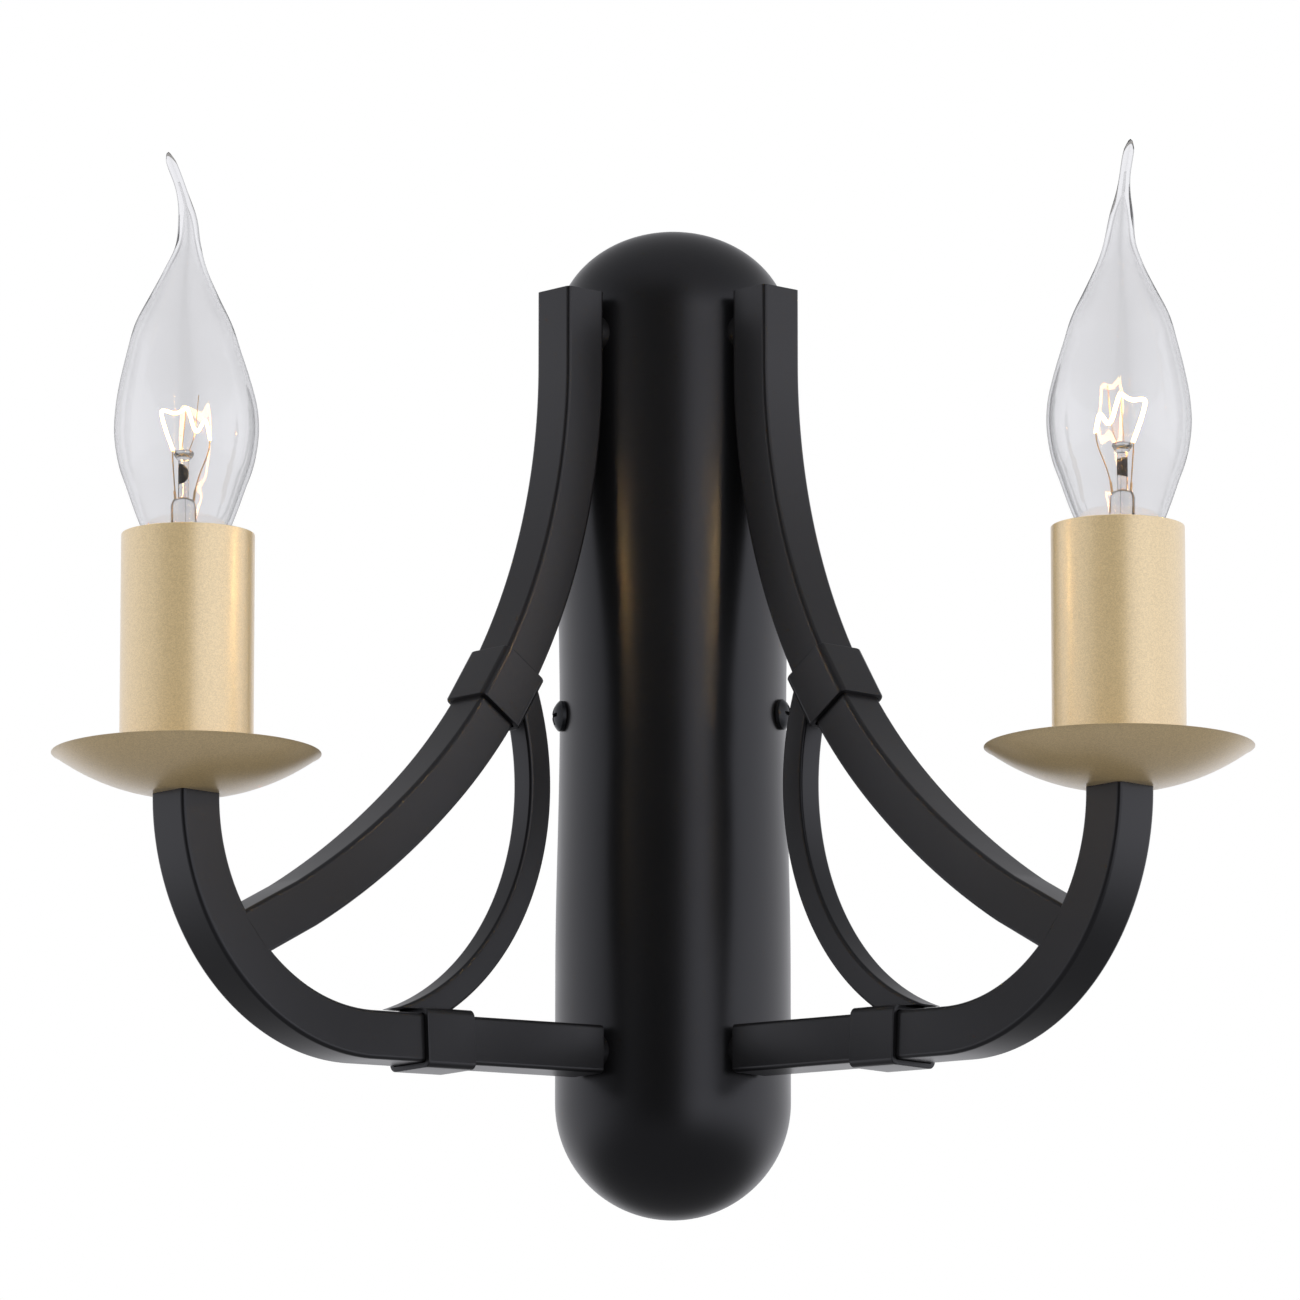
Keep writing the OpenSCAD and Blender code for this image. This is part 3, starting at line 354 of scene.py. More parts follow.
def collar(side, name, mid, along, cad):
    """Square sleeve with softened mouth edges, open at both ends round the arm."""
    across = (-along[1], along[0])
    rows = [(-COLLAR_LEN / 2 + t, grow, wall) for t, grow, wall in COLLAR_MOUTH]
    rows += [(COLLAR_LEN / 2 - t, grow, wall) for t, grow, wall in reversed(COLLAR_MOUTH)]
    path, outlines = [], []
    for t, grow, wall in rows:
        path.append(((mid[0] + along[0] * t, mid[1] + along[1] * t), across))
        width = COLLAR + grow - 2 * wall
        outlines.append(rounded_square(width, max(COLLAR_CORNER - wall, 0.4)))
    verts, faces = sweep(side, path, outlines)
    faces = faces[:-2]  # without its end caps
    n = len(outlines[0])
    last = (len(path) - 1) * n
    faces += [(last + j, last + (j + 1) % n, (j + 1) % n, j) for j in range(n)]
    fix_normals(make_piece(name, verts, faces, black_powder, cad))


top = (
    upper_mid[0] - COLLAR / 2 * cos(turn) - BRACE_TOP_SHIFT * upper_along[0],
    upper_mid[1] - COLLAR / 2 * sin(turn) - BRACE_TOP_SHIFT * upper_along[1],
)
foot = (
    lower_mid[0] + COLLAR / 2 * lower_dir[0] + BRACE_FOOT_SHIFT * lower_along[0],
    lower_mid[1] + COLLAR / 2 * lower_dir[1] + BRACE_FOOT_SHIFT * lower_along[1],
)
span = (foot[0] - top[0], foot[1] - top[1])
length = hypot(*span)
rise = sqrt(BRACE_R**2 - length**2 / 4)
brace_c = (
    (top[0] + foot[0]) / 2 - span[1] / length * rise,
    (top[1] + foot[1]) / 2 + span[0] / length * rise,
)
face_normal = (cos(turn), sin(turn))
collar_face = (upper_mid[0] - COLLAR / 2 * cos(turn), upper_mid[1] - COLLAR / 2 * sin(turn))
foot_face = (lower_mid[0] + COLLAR / 2 * lower_dir[0], lower_mid[1] + COLLAR / 2 * lower_dir[1])


def cut_line(r, point, normal, near):
    """Angle where a circle about the brace's centre crosses a plane; near picks one of the two."""
    off = (point[0] - brace_c[0]) * normal[0] + (point[1] - brace_c[1]) * normal[1]
    mid = atan2(normal[1], normal[0])
    spread = acos(max(-1, min(1, off / r)))
    two = [(mid + spread) % (2 * pi), (mid - spread) % (2 * pi)]
    return min(two, key=lambda a: abs(a - near))


outline = rounded_square(BRACE, BRACE_CORNER)
bore = rounded_square(BRACE - 2 * BRACE_WALL, BRACE_CORNER - 0.4)
for side, name in ((-1, "left"), (1, "right")):
    collar(side, name + "_upper_sleeve", upper_mid, upper_along, name + "_upper_collar")
    collar(side, name + "_lower_sleeve", lower_mid, lower_along, name + "_lower_collar")
    verts, faces = [], []
    n = len(outline)
    for ring in (outline, bore):
        for i in range(BRACE_STEPS + 1):
            for u, v in ring:
                r = BRACE_R + u
                first = cut_line(r, collar_face, face_normal, BRACE_TOP_NEAR)
                final = cut_line(r, foot_face, lower_dir, BRACE_FOOT_NEAR)
                a = first + (final - first) * i / BRACE_STEPS
                verts.append(arm_point(side, brace_c[0] + r * cos(a), v, brace_c[1] + r * sin(a)))
    base = (BRACE_STEPS + 1) * n
    end = BRACE_STEPS * n
    for i in range(BRACE_STEPS):
        for j in range(n):
            k = (j + 1) % n
            quad = (i * n + j, i * n + k, (i + 1) * n + k, (i + 1) * n + j)
            faces.append(quad)
            faces.append(tuple(base + quad[q] for q in (1, 0, 3, 2)))
    for j in range(n):
        k = (j + 1) % n
        faces.append((j, base + j, base + k, k))
        faces.append((end + j, end + k, base + end + k, base + end + j))
    brace = make_piece(name + "_brace_tube", verts, faces, black_powder, name + "_brace")
    fix_normals(brace)

# ------------------------------------------------------------------ candles
# The drip dish is spun from thin steel sheet and the sleeve is drawn tube; both are sprayed with
# a champagne-coloured metallic paint, whose fine flakes give a soft, sparkling sheen.
DISH_R = 32.5
DISH_CURVE = 54.7  # radius of the dish's ball-shaped underside
DISH_FLAT = 9.0  # radius of its flat middle
DISH_SHEET = 1.0
DISH_HOLE = 4.1
DISH_STEPS = 28
LIP_IN, LIP_DOWN = 0.08, (0.22, 0.2)  # how the rim's two edges are eased
SLEEVE_R = 16.1
SLEEVE_WALL = 1.0
SLEEVE_EDGE = 0.2
ROUND_STEPS = 128
candle_x = CANDLE_REACH * sin(radians(ARM_ANGLE))
candle_y = -ARM_APEX - CANDLE_REACH * cos(radians(ARM_ANGLE))


def mix_colours(tree, factor, first, last):
    """Mix of two linear colours by a node's output."""
    node = add_node(tree, "ShaderNodeMix", [(factor, "Factor")], data_type="RGBA")
    node.inputs[6].default_value = first
    node.inputs[7].default_value = last
    return node.outputs[2]


def metallic_paint(name, colour, deep, rough, flake_mm, depth_mm):
    """Metallic paint under a glossy coat: flakes, coarser than real ones, differ in tone and gloss."""
    mat, tree, bsdf = new_finish(
        name, Base_Color=linear(colour), Metallic=0.35, Roughness=rough,
        Coat_Weight=1.0, Coat_Roughness=0.3, Coat_IOR=2.4,
    )
    place = add_node(tree, "ShaderNodeTexCoord")
    flakes = add_node(
        tree, "ShaderNodeTexVoronoi", [(place.outputs["Object"], "Vector")], Scale=1 / (flake_mm * MM)
    )
    chance = add_node(tree, "ShaderNodeSeparateColor", [(flakes.outputs["Color"], "Color")])
    tone = mix_colours(tree, chance.outputs["Red"], linear(deep), linear(colour))
    tree.links.new(tone, bsdf.inputs["Base Color"])
    vary_gloss(tree, bsdf, chance.outputs["Green"], rough - 0.1, rough + 0.12)
    add_relief(tree, bsdf, chance.outputs["Blue"], 0.5, depth_mm)
    return mat


champagne = metallic_paint(
    "champagne_metallic_paint", "#ebd09a", "#d2b781", rough=0.45, flake_mm=0.22, depth_mm=0.01
)


def dish_profile():
    """Closed section of the dish, from its hole outwards below and back inside."""
    low = SEAT_Z
    centre = low + sqrt(DISH_CURVE**2 - DISH_FLAT**2)
    rim = centre - sqrt(DISH_CURVE**2 - DISH_R**2)
    under, over = [], []
    for i in range(DISH_STEPS + 1):
        r = DISH_FLAT + (DISH_R - DISH_FLAT) * i / DISH_STEPS
        under.append((r, centre - sqrt(DISH_CURVE**2 - r * r)))
    inner_curve = DISH_CURVE - DISH_SHEET
    inner_rim = sqrt(inner_curve**2 - (centre - rim) ** 2)
    inner_flat = sqrt(inner_curve**2 - (centre - low - DISH_SHEET) ** 2)
    for i in range(DISH_STEPS + 1):
        r = inner_rim + (inner_flat - inner_rim) * i / DISH_STEPS
        over.append((r, centre - sqrt(inner_curve**2 - r * r)))
    lip = ((under[-1][0] + over[0][0]) / 2, rim)
    under[-1] = (under[-1][0] - LIP_IN, rim - LIP_DOWN[0])
    over[0] = (over[0][0] + LIP_IN, rim - LIP_DOWN[1])
    return [(DISH_HOLE, low)] + under + [lip] + over + [(DISH_HOLE, low + DISH_SHEET)]


def sleeve_profile(low, high):
    """Closed section of the sleeve with softened edges."""
    r, w, e = SLEEVE_R, SLEEVE_WALL, SLEEVE_EDGE
    return [
        (r - w, low), (r - e, low), (r, low + e), (r, high - e), (r - e * 0.3, high - e * 0.3),
        (r - e, high), (r - w + e, high), (r - w, high - e),
    ]


def moved(verts, place):
    """Points moved from the CAD's Z axis to a candle's."""
    return [(x + place[0], y + place[1], z) for x, y, z in verts]


for side, name in ((-1, "left"), (1, "right")):
    place = (side * candle_x, candle_y)
    verts, faces = spin(dish_profile(), ROUND_STEPS)
    verts = moved(verts, place)
    dish = make_piece(name + "_dish_spun", verts, faces, champagne, name + "_drip_dish")
    fix_normals(dish)
    low, high = (v.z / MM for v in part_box(name + "_candle_sleeve"))
    verts, faces = spin(sleeve_profile(low, high), ROUND_STEPS)
    verts = moved(verts, place)
    sleeve = make_piece(
        name + "_sleeve_tube", verts, faces, champagne, name + "_candle_sleeve", name + "_sleeve"
    )
    fix_normals(sleeve)

# ------------------------------------------------------------------ bulbs
# Soda-lime glass blown thin and drawn out to a bent tip; it is clear, and its wall is thicker in
# the tip. Inside stand a glass foot with its rod, two leads and a coiled filament, which is lit.
GLASS_WALL = 0.7
GLASS_ROWS = (  # height above the bulb's lower contact, and radius there
    (26.4, 7.2), (29.8, 8.8), (33.4, 10.75), (37.5, 12.4), (42.9, 14.3), (48.0, 16.1), (53.0, 17.1),
    (57.8, 17.45), (63.4, 17.0), (69.5, 15.7), (76.0, 13.9), (83.0, 11.8), (90.0, 8.4), (96.4, 5.3),
    (103.1, 2.65), (110.1, 2.0), (116.6, 1.36), (123.5, 1.25), (125.6, 0.5),
)
GLASS_LEAN = (  # height, and how far the bent tip leans towards its heading
    (62.0, 0.0), (83.0, 0.9), (96.4, 0.5), (103.1, -0.2),
    (110.1, 0.0), (116.6, 1.6), (123.5, 4.2), (125.6, 4.9),
)
GLASS_STEPS = 110
GLASS_TIP = (126.0, 0.05)
GLASS_RING = 64
GLASS_NECK = ((26.0, 5.6), (21.1, 5.6), (21.1, 6.3), (26.0, 6.3))  # its edge, in the cap
THICKER_FROM, THICKER_OVER = 80.0, 25.0  # above 80 the wall is as thick again every 25
CAVITY_END = 119.0
CAVITY_TAPER = (90.0, 0.5, 100.0)  # its least radius: 0.5 at height 90, and 1 in 100 less above
SHIFT_FROM, SHIFT_OVER = 24.0, 8.0
# Both bulbs were drawn out by hand, so each has its own lean, offset, and swelling of the neck
TIP_HEADING = {"left": 180.0, "right": -50.0}
GLASS_SHIFT = {"left": -0.6, "right": 0.5}
NECK_EXTRA = {"left": 0.4, "right": 1.0}
NECK_AT, NECK_SPREAD = 105.0, 6.0
NECK_SWAY = {"left": -0.2, "right": 1.1}
SWAY_AT, SWAY_SPREAD = 110.0, 10.0

glass_mat = new_finish(
    "clear_blown_glass", Base_Color=linear("#efefef"), Roughness=0.0, Transmission_Weight=1.0, IOR=1.5
)[0]


def curve_through(rows, u):
    """Smooth value at u through rows of (u, value), by a cubic between neighbours."""
    if u <= rows[0][0]:
        return rows[0][1]
    if u >= rows[-1][0]:
        return rows[-1][1]
    i = max(k for k in range(len(rows) - 1) if rows[k][0] <= u)

    def slope(k):
        a, b = max(k - 1, 0), min(k + 1, len(rows) - 1)
        return (rows[b][1] - rows[a][1]) / (rows[b][0] - rows[a][0])

    h = rows[i + 1][0] - rows[i][0]
    t = (u - rows[i][0]) / h
    p0, p1, m0, m1 = rows[i][1], rows[i + 1][1], slope(i) * h, slope(i + 1) * h
    start = (2 * t**3 - 3 * t**2 + 1) * p0 + (t**3 - 2 * t**2 + t) * m0
    return start + (-2 * t**3 + 3 * t**2) * p1 + (t**3 - t**2) * m1


def hump(u, at, spread):
    """A smooth rise to 1 and back around a height."""
    return exp(-(((u - at) / spread) ** 2))


def ramp_up(u, start, over):
    """0 up to a height, then rising evenly to 1."""
    return min(1, max(0, (u - start) / over))


def glass_rings(place, base, heading, shift, extra, sway):
    """Rings from the inside of the tip down, round the neck's edge and up the outside."""

    def outside(u):
        return curve_through(GLASS_ROWS, u) + extra * hump(u, NECK_AT, NECK_SPREAD)

    first, last = GLASS_ROWS[0][0], GLASS_ROWS[-1][0]
    heights = [first + (last - first) * i / GLASS_STEPS for i in range(GLASS_STEPS + 1)]
    inside = []
    for u in heights:
        if u < CAVITY_END:
            wall = GLASS_WALL * (1 + max(0, u - THICKER_FROM) / THICKER_OVER)
            least = CAVITY_TAPER[1] - (u - CAVITY_TAPER[0]) / CAVITY_TAPER[2]
            inside.append((u, max(outside(u) - wall, least)))
    rows = inside[::-1] + list(GLASS_NECK)
    rows += [(u, outside(u)) for u in heights] + [GLASS_TIP]
    verts = []
    n = GLASS_RING
    for u, r in rows:
        lean = 0.0 if u < GLASS_LEAN[0][0] else curve_through(GLASS_LEAN, u)
        x = place[0] + lean * cos(radians(heading)) + shift * ramp_up(u, SHIFT_FROM, SHIFT_OVER)
        x += sway * hump(u, SWAY_AT, SWAY_SPREAD)
        y = place[1] + lean * sin(radians(heading))
        for j in range(n):
            verts.append((x + r * cos(2 * pi * j / n), y + r * sin(2 * pi * j / n), base + u))
    faces = []
    for i in range(len(rows) - 1):
        for j in range(n):
            k = (j + 1) % n
            faces.append((i * n + j, (i + 1) * n + j, (i + 1) * n + k, i * n + k))
    faces.append(tuple(range(n)))
    faces.append(tuple(reversed(range((len(rows) - 1) * n, len(rows) * n))))
    return verts, faces


for side, name in ((-1, "left"), (1, "right")):
    place = (side * candle_x, candle_y)
    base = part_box(name + "_bulb_contact")[0].z / MM
    drawn = (TIP_HEADING[name], GLASS_SHIFT[name], NECK_EXTRA[name], NECK_SWAY[name])
    verts, faces = glass_rings(place, base, *drawn)
    bulb = make_piece(
        name + "_bulb_envelope", verts, faces, glass_mat, name + "_bulb_glass", name + "_bulb"
    )
    fix_normals(bulb)
    bulb.visible_shadow = False

# Inside a bulb, heights are above its lower contact; the left bulb's parts are given, and the right
# bulb's are the same, turned by half a turn. The foot and rod lean a little sideways. A half-round
# bead of dark glass sits on the rod, and the filament is a fine coil.
STEM_LEAN = (-1.2, 21.0, 12.0)  # how far the rod stands off; from which height, over how much
STEM_PROFILE = (
    (0.05, 27.0), (4.4, 21.1), (5.4, 21.1), (5.0, 26.1), (3.3, 30.0), (3.1, 36.6), (2.6, 38.0),
    (1.35, 38.6), (1.3, 47.8), (2.0, 48.5), (2.5, 49.3), (2.3, 50.0), (1.2, 50.4), (0.05, 50.5),
)
STEM_STEPS = 40
RAISED, RAISED_FROM, RAISED_OVER = 2.0, 27.0, 6.0  # how much higher all above the foot stands
BEAD_R, BEAD_HALF_HEIGHT, BEAD_DEPTH = 2.4, 2.55, 0.5
BEAD_AT = (-2.3, -0.9, 44.4)
BEAD_STEPS, BEAD_TURNS = 12, 14
LEAD_R, LEAD_SHEATH_R, HOOK_R = 0.16, 0.3, 0.09
FILAMENT = (
    (-3.8, 0.0, 50.4), (-5.6, 0.7, 55.2), (-6.8, 1.0, 59.6), (-6.2, 1.5, 60.4), (-3.6, 3.0, 60.0),
    (-1.6, 3.4, 61.0), (-0.8, 3.5, 61.4), (0.0, 2.4, 59.4), (1.2, 1.0, 55.8), (2.2, -0.2, 55.0),
    (3.6, -1.0, 57.0), (4.2, -0.9, 57.2), (4.8, -0.4, 54.6), (5.1, 0.0, 52.7),
)
FILAMENT_R, FILAMENT_PITCH, FILAMENT_PER_TURN = 0.1, 0.3, 8
COIL_R = {"left": 0.3, "right": 0.42}
GLOW_STRENGTH = {"left": 260.0, "right": 400.0}
glow = {
    name: new_finish(
        name + "_lit_filament", Base_Color=linear("#ffb765"), Roughness=0.5,
        Emission_Color=linear("#ffd080"), Emission_Strength=strength,
    )[0]
    for name, strength in GLOW_STRENGTH.items()
}
dark_glass = new_finish("dark_glass_bead", Base_Color=linear("#17130f"), Roughness=0.12)[0]
lead_metal = new_finish(
    "nickel_lead_wire", Base_Color=linear("#c4a67c"), Metallic=1.0, Roughness=0.35
)[0]


def wire(points, radius, sides=8):
    """Closed round wire through points, its frame carried along without twisting."""
    verts, faces = [], []
    points = [Vector(p) for p in points]
    side = None
    for i, p in enumerate(points):
        ahead = (points[min(i + 1, len(points) - 1)] - points[max(i - 1, 0)]).normalized()
        if side is None:
            side = ahead.orthogonal().normalized()
        side = (side - ahead * side.dot(ahead)).normalized()
        up = ahead.cross(side)
        for j in range(sides):
            t = 2 * pi * j / sides
            verts.append(p + side * radius * cos(t) + up * radius * sin(t))
    n = sides
    for i in range(len(points) - 1):
        for j in range(n):
            k = (j + 1) % n
            faces.append((i * n + j, i * n + k, (i + 1) * n + k, (i + 1) * n + j))
    faces.append(tuple(reversed(range(n))))
    faces.append(tuple(range((len(points) - 1) * n, len(points) * n)))
    return verts, faces


def smooth_path(points, steps):
    """Smooth curve through points, with some steps to each span."""
    points = [Vector(p) for p in points]
    path = []
    for i in range(len(points) - 1):
        a, b = points[max(i - 1, 0)], points[i]
        c, d = points[i + 1], points[min(i + 2, len(points) - 1)]
        for k in range(steps):
            t = k / steps
            square = (2 * a - 5 * b + 4 * c - d) * t * t
            cube = (3 * b - a - 3 * c + d) * t**3
            path.append(0.5 * (2 * b + (c - a) * t + square + cube))
    return path + [points[-1]]


def coiled(path, radius, pitch, per_turn):
    """Helix wound round a path."""
    out, phase, side = [], 0.0, None
    for i in range(len(path) - 1):
        ahead = path[i + 1] - path[i]
        length = ahead.length
        ahead.normalize()
        if side is None:
            side = ahead.orthogonal().normalized()
        side = (side - ahead * side.dot(ahead)).normalized()
        up = ahead.cross(side)
        steps = max(1, round(length / pitch * per_turn))
        for k in range(steps):
            t = phase + 2 * pi * k / per_turn
            middle = path[i] + (path[i + 1] - path[i]) * k / steps
            out.append(middle + (side * cos(t) + up * sin(t)) * radius)
        phase += 2 * pi * steps / per_turn
    return out


def merge(parts):
    """Several (points, faces) as one."""
    verts, faces = [], []
    for v, f in parts:
        base = len(verts)
        verts += list(v)
        faces += [tuple(base + i for i in face) for face in f]
    return verts, faces


def put(verts, place, base, turned):
    """Points moved to a bulb's axis and raised above its foot; turned is -1 for half a turn."""
    return [
        (
            turned * v[0] + place[0],
            turned * v[1] + place[1],
            v[2] + base + RAISED * ramp_up(v[2], RAISED_FROM, RAISED_OVER),
        )
        for v in verts
    ]


for side, name in ((-1, "left"), (1, "right")):
    place = (side * candle_x, candle_y)
    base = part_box(name + "_bulb_contact")[0].z / MM
    body = name + "_bulb"
    verts, faces = spin(STEM_PROFILE, STEM_STEPS)
    verts = [(x + STEM_LEAN[0] * ramp_up(z, *STEM_LEAN[1:]), y, z) for x, y, z in verts]
    verts = put(verts, place, base, -side)
    stem = make_piece(name + "_glass_foot", verts, faces, glass_mat, name + "_bulb_stem", body)
    fix_normals(stem)

    # Dark half-round bead, its flat side against the rod
    rows = []
    for i in range(BEAD_STEPS + 1):
        a = pi * i / BEAD_STEPS
        rows.append((BEAD_R * sin(a) + 0.02, BEAD_AT[2] - BEAD_HALF_HEIGHT * cos(a)))
    verts, faces = spin(rows, BEAD_TURNS, -90, 180, closed_profile=False)
    n = len(rows)
    faces.append(tuple(range(n)) + tuple(reversed(range(BEAD_TURNS * n, (BEAD_TURNS + 1) * n))))
    verts = [(x + BEAD_AT[0], y * BEAD_DEPTH + BEAD_AT[1], z) for x, y, z in verts]
    verts = put(verts, place, base, -side)
    bead = make_piece(name + "_bead", verts, faces, dark_glass, None, body)
    fix_normals(bead)

    # Two leads that carry the current, with their sheaths, and two thin hooks that hold the coil up
    left_lead = [(-3.1, 0, 33.0), (-3.1, 0, 37.6), (-3.5, 0, 43), (-3.9, 0, 49), (-3.8, 0, 50.4)]
    right_lead = [(1.1, 0, 33.0), (1.2, 0, 38), (2.4, 0, 43.5), (4.6, 0, 49.5), (5.1, 0, 52.7)]
    left_hook = [(-1.7, 0, 50.0), (-1.4, 0.6, 54.0), (-1.0, 3.2, 61.3)]
    right_hook = [(-0.2, 0, 49.6), (1.0, 0.5, 53.0), (1.5, 1.0, 56.2), (2.2, 1.0, 64.0)]
    wires = [
        wire(smooth_path(left_lead, 4), LEAD_R),
        wire(smooth_path(right_lead, 4), LEAD_R),
        wire([(-3.1, 0, 37.2), (-3.35, 0, 40.4)], LEAD_SHEATH_R),
        wire([(1.15, 0, 37.2), (1.6, 0, 40.6)], LEAD_SHEATH_R),
        wire(smooth_path(left_hook, 5), HOOK_R),
        wire(smooth_path(right_hook, 5), HOOK_R),
    ]
    verts, faces = merge(wires)
    verts = put(verts, place, base, -side)
    leads = make_piece(name + "_lead_wires", verts, faces, lead_metal, name + "_bulb_leads", body)

    # The lit coil
    path = smooth_path(FILAMENT, 10)
    helix = coiled(path, COIL_R[name], FILAMENT_PITCH, FILAMENT_PER_TURN)
    verts, faces = wire(helix, FILAMENT_R, 5)
    verts = put(verts, place, base, -side)
    coil = make_piece(name + "_coil", verts, faces, glow[name], name + "_bulb_filament", body)

# ------------------------------------------------------------------ fittings
# Screws, nuts, brackets, holders and wires are kept as the CAD gives them. They are zinc-plated
# steel, brass, nickel, white plastic and wire skins, and are fixed by the screws and nuts shown.
PATCH_MM = 2.5


def plated(name, colour, rough, metallic=1.0):
    """Metal, or plastic where metallic is 0, with a slightly uneven gloss."""
    mat, tree, bsdf = new_finish(name, Base_Color=linear(colour), Metallic=metallic, Roughness=rough)
    patches = object_noise(tree, 1 / (PATCH_MM * MM), 3.0)
    vary_gloss(tree, bsdf, patches, rough - 0.06, rough + 0.06)
    return mat


finishes = {
    "powder_black": black_powder,
    "screw_black": plated("black_plated_screw", "#2a2c30", 0.3, 0.6),
    "zinc_steel": plated("zinc_plated_steel", "#b9bcc0", 0.3),
    "brass_parts": plated("brass", "#c9a24c", 0.25),
    "earth_wire": plated("earth_wire_skin", "#6f8f2f", 0.45, 0.0),
    "white_plastic": plated("white_moulded_plastic", "#e4e0d6", 0.4, 0.0),
    "gold_paint": champagne,
    "wire_skin": plated("brown_wire_skin", "#5f4030", 0.45, 0.0),
    "clear_glass": glass_mat,
    "bulb_metal": plated("nickel_plated_cap", "#b8b4ac", 0.25),
    "black_glass": plated("black_glass_insulator", "#151210", 0.15, 0.0),
    "lead_wire": lead_metal,
    "filament": glow["left"],
}
slots = {p["node"]: p["material_slot"] for p in frame["record"]["subparts"]}
for node, obj in nodes.items():
    obj.data.materials.clear()
    obj.data.materials.append(finishes[slots[node]])
    for poly in obj.data.polygons:
        poly.material_index = 0

# ------------------------------------------------------------------ stage
# A pale, matt painted floor far below the lamp, and a white studio. What the studio shows in a
# reflection depends on the direction: white behind and beside the lamp, a dark front with one tall
# soft light to the right of the camera, and less from above and below; clear glass has its own.
REFLECTED = (  # heading in degrees, 0 towards the camera's side, and brightness there
    (-180, 1.0), (-95, 1.0), (-80, 0.85), (-62, 0.5), (-42, 0.22), (-24, 0.08), (-5, 0.02), (10, 0.08),
    (20, 1.1), (30, 1.35), (42, 1.2), (60, 1.2), (85, 1.25), (120, 1.2), (179, 1.0),
)
IN_GLASS = (
    (-180, 0.15), (-140, 0.2), (-105, 0.9), (-75, 1.0), (-40, 0.75), (-12, 0.5), (-3, 0.1),
    (14, 0.05), (28, 0.6), (50, 0.95), (75, 1.0), (105, 0.9), (140, 0.2), (179, 0.15),
)
OVERHEAD, BELOW = 0.3, 0.22  # brightness in satin reflections straight up and straight down
GLASS_SPARKLE = 2.2  # glass mirrors little, so its sharp reflections are lifted
BEHIND_GLASS = 1.0
ALL_ROUND = 0.85  # light that falls on matt surfaces
STUDIO_TINT = "#fbfbff"
FLOOR_Z, FLOOR_HALF = -0.95, 6  # metres
FLOOR_SEEN, FLOOR_LIT = "#eeedea", "#aeaba5"  # to the camera, and where it lights other surfaces
LAMP_SPREAD = 90
LAMPS = (  # name, place and size in metres, watts
    ("lamp_left", (-2.2, -1.6, 0.8), (1.2, 2.0), 7.2),
    ("lamp_right", (2.2, -1.8, 0.8), (1.2, 2.0), 6.8),
    ("lamp_top", (0.0, -1.2, 2.4), (2.0, 1.2), 3.6),
)
LAMP_AIM = (0, -0.06, 0)
world = bpy.data.worlds.new("studio")
bpy.context.scene.world = world
world.use_nodes = True
tree = world.node_tree
seen = tree.nodes["Background"]
rays = add_node(tree, "ShaderNodeLightPath")
toward = add_node(tree, "ShaderNodeTexCoord")
parts = add_node(tree, "ShaderNodeSeparateXYZ", [(toward.outputs["Generated"], "Vector")])


def product(first, second):
    """Two brightnesses multiplied; the second may be a number."""
    node = add_node(tree, "ShaderNodeMath", [(first, 0)], operation="MULTIPLY")
    if isinstance(second, float):
        node.inputs[1].default_value = second
    else:
        tree.links.new(second, node.inputs[1])
    return node.outputs[0]


ahead = product(parts.outputs["Y"], -1.0)
heading = add_node(
    tree, "ShaderNodeMath", [(parts.outputs["X"], 0), (ahead, 1)], operation="ARCTAN2"
)
share = add_node(
    tree, "ShaderNodeMapRange", [(heading.outputs[0], "Value")], From_Min=-pi, From_Max=pi
)


def by_heading(levels):
    """Brightness by compass direction, from (degrees, level) pairs."""
    ramp = add_node(tree, "ShaderNodeValToRGB", [(share.outputs["Result"], "Fac")])
    stops = ramp.color_ramp.elements
    while len(stops) < len(levels):
        stops.new(0.5)
    for stop, (angle, level) in zip(stops, levels):
        stop.position = angle / 360 + 0.5
        stop.color = (level, level, level, 1)
    return ramp.outputs["Color"]


def by_slope(axis, start, stop, first, last):
    """Brightness that changes smoothly with one part of the direction."""
    node = add_node(
        tree,
        "ShaderNodeMapRange",
        [(parts.outputs[axis], "Value")],
        interpolation_type="SMOOTHSTEP",
        From_Min=start,
        From_Max=stop,
        To_Min=first,
        To_Max=last,
    )
    return node.outputs["Result"]


def blend(first, last, share_of_last):
    """Mix of two brightnesses, each a number or a node's output."""
    node = add_node(tree, "ShaderNodeMix", [(share_of_last, "Factor")], data_type="FLOAT")
    for slot, value in ((2, first), (3, last)):
        if isinstance(value, float):
            node.inputs[slot].default_value = value
        else:
            tree.links.new(value, node.inputs[slot])
    return node.outputs[0]


# Satin paint: dimmer upwards, then even greys above and below
satin = product(by_heading(REFLECTED), by_slope("Z", 0.1, 0.7, 1.0, 0.38))
satin = blend(satin, OVERHEAD, by_slope("Z", 0.45, 1.0, 0.0, 1.0))
satin = blend(satin, BELOW, by_slope("Z", -0.65, -0.15, 1.0, 0.0))
# Glass: its sharp reflections, and what is seen through it, white straight behind the lamp
sharp = product(by_heading(IN_GLASS), by_slope("Z", 0.2, 0.9, 1.0, 0.5))
mirrored = blend(satin, product(sharp, GLASS_SPARKLE), rays.outputs["Is Singular Ray"])
behind_glass = blend(sharp, BEHIND_GLASS, by_slope("Y", 0.3, 0.85, 0.0, 1.0))
# Each kind of ray gets its own brightness; the camera itself sees plain white
level = blend(ALL_ROUND, mirrored, rays.outputs["Is Glossy Ray"])
level = blend(level, behind_glass, rays.outputs["Is Transmission Ray"])
level = blend(level, 1.0, rays.outputs["Is Camera Ray"])
tree.links.new(level, seen.inputs["Strength"])
white = (1, 1, 1, 1)
tint = mix_colours(tree, rays.outputs["Is Camera Ray"], linear(STUDIO_TINT), white)
tree.links.new(tint, seen.inputs["Color"])

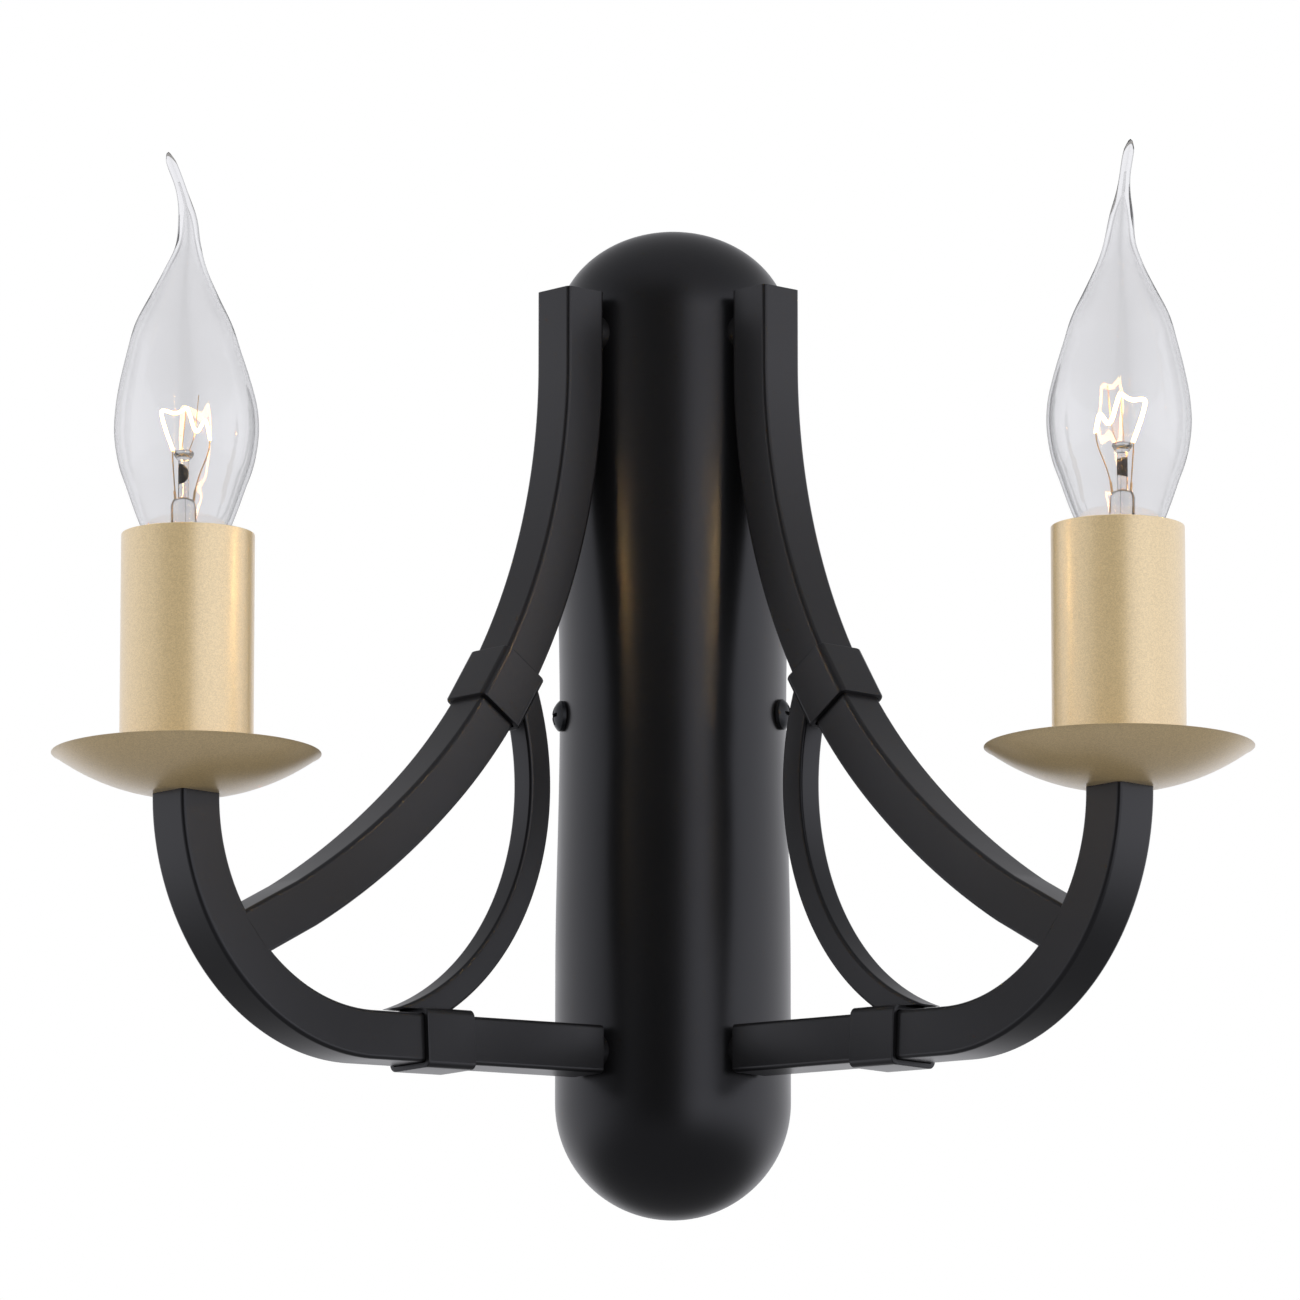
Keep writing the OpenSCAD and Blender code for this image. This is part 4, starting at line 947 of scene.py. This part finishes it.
floor_mesh = bpy.data.meshes.new("floor")
corners = [(x * FLOOR_HALF, y * FLOOR_HALF, FLOOR_Z) for x, y in ((-1, -1), (1, -1), (1, 1), (-1, 1))]
floor_mesh.from_pydata(corners, [], [(0, 1, 2, 3)])
floor = bpy.data.objects.new("floor", floor_mesh)
bpy.context.scene.collection.objects.link(floor)
pale, tree, bsdf = new_finish("pale_floor", Roughness=0.8)
rays = add_node(tree, "ShaderNodeLightPath")
shade = mix_colours(tree, rays.outputs["Is Camera Ray"], linear(FLOOR_LIT), linear(FLOOR_SEEN))
tree.links.new(shade, bsdf.inputs["Base Color"])
floor_mesh.materials.append(pale)
floor.visible_glossy = False


def soft_lamp(name, place, size, watts):
    """Soft rectangular lamp that faces the object and shows in no reflection or glass."""
    data = bpy.data.lights.new(name, "AREA")
    data.shape = "RECTANGLE"
    data.size, data.size_y = size
    data.energy = watts
    data.spread = radians(LAMP_SPREAD)
    lamp = bpy.data.objects.new(name, data)
    bpy.context.scene.collection.objects.link(lamp)
    lamp.location = place
    lamp.rotation_euler = (Vector(LAMP_AIM) - Vector(place)).to_track_quat("-Z", "Y").to_euler()
    lamp.visible_glossy = False
    lamp.visible_transmission = False


for row in LAMPS:
    soft_lamp(*row)

# Camera at the photograph's angle: low, slightly to the right, looking up
AZIMUTH, ELEVATION = 2.5, -9.9  # degrees
DISTANCE = 2.6  # metres from the CAD's origin
PX_PER_MM, IMAGE = 3.99, 1300
CENTRE = (673.0, 721.2)  # pixel where the origin appears
SENSOR = 36
e, a = radians(ELEVATION), radians(AZIMUTH)
data = bpy.data.cameras.new("camera")
camera = bpy.data.objects.new("camera", data)
bpy.context.scene.collection.objects.link(camera)
camera.location = Vector((cos(e) * sin(a), -cos(e) * cos(a), sin(e))) * DISTANCE
camera.rotation_euler = (-camera.location).to_track_quat("-Z", "Y").to_euler()
data.sensor_width = SENSOR
data.lens = PX_PER_MM * DISTANCE / MM * SENSOR / IMAGE
data.shift_x = (IMAGE / 2 - CENTRE[0]) / IMAGE
data.shift_y = (CENTRE[1] - IMAGE / 2) / IMAGE
data.clip_end = 30
bpy.context.scene.camera = camera
bpy.context.scene.view_settings.view_transform = "Standard"
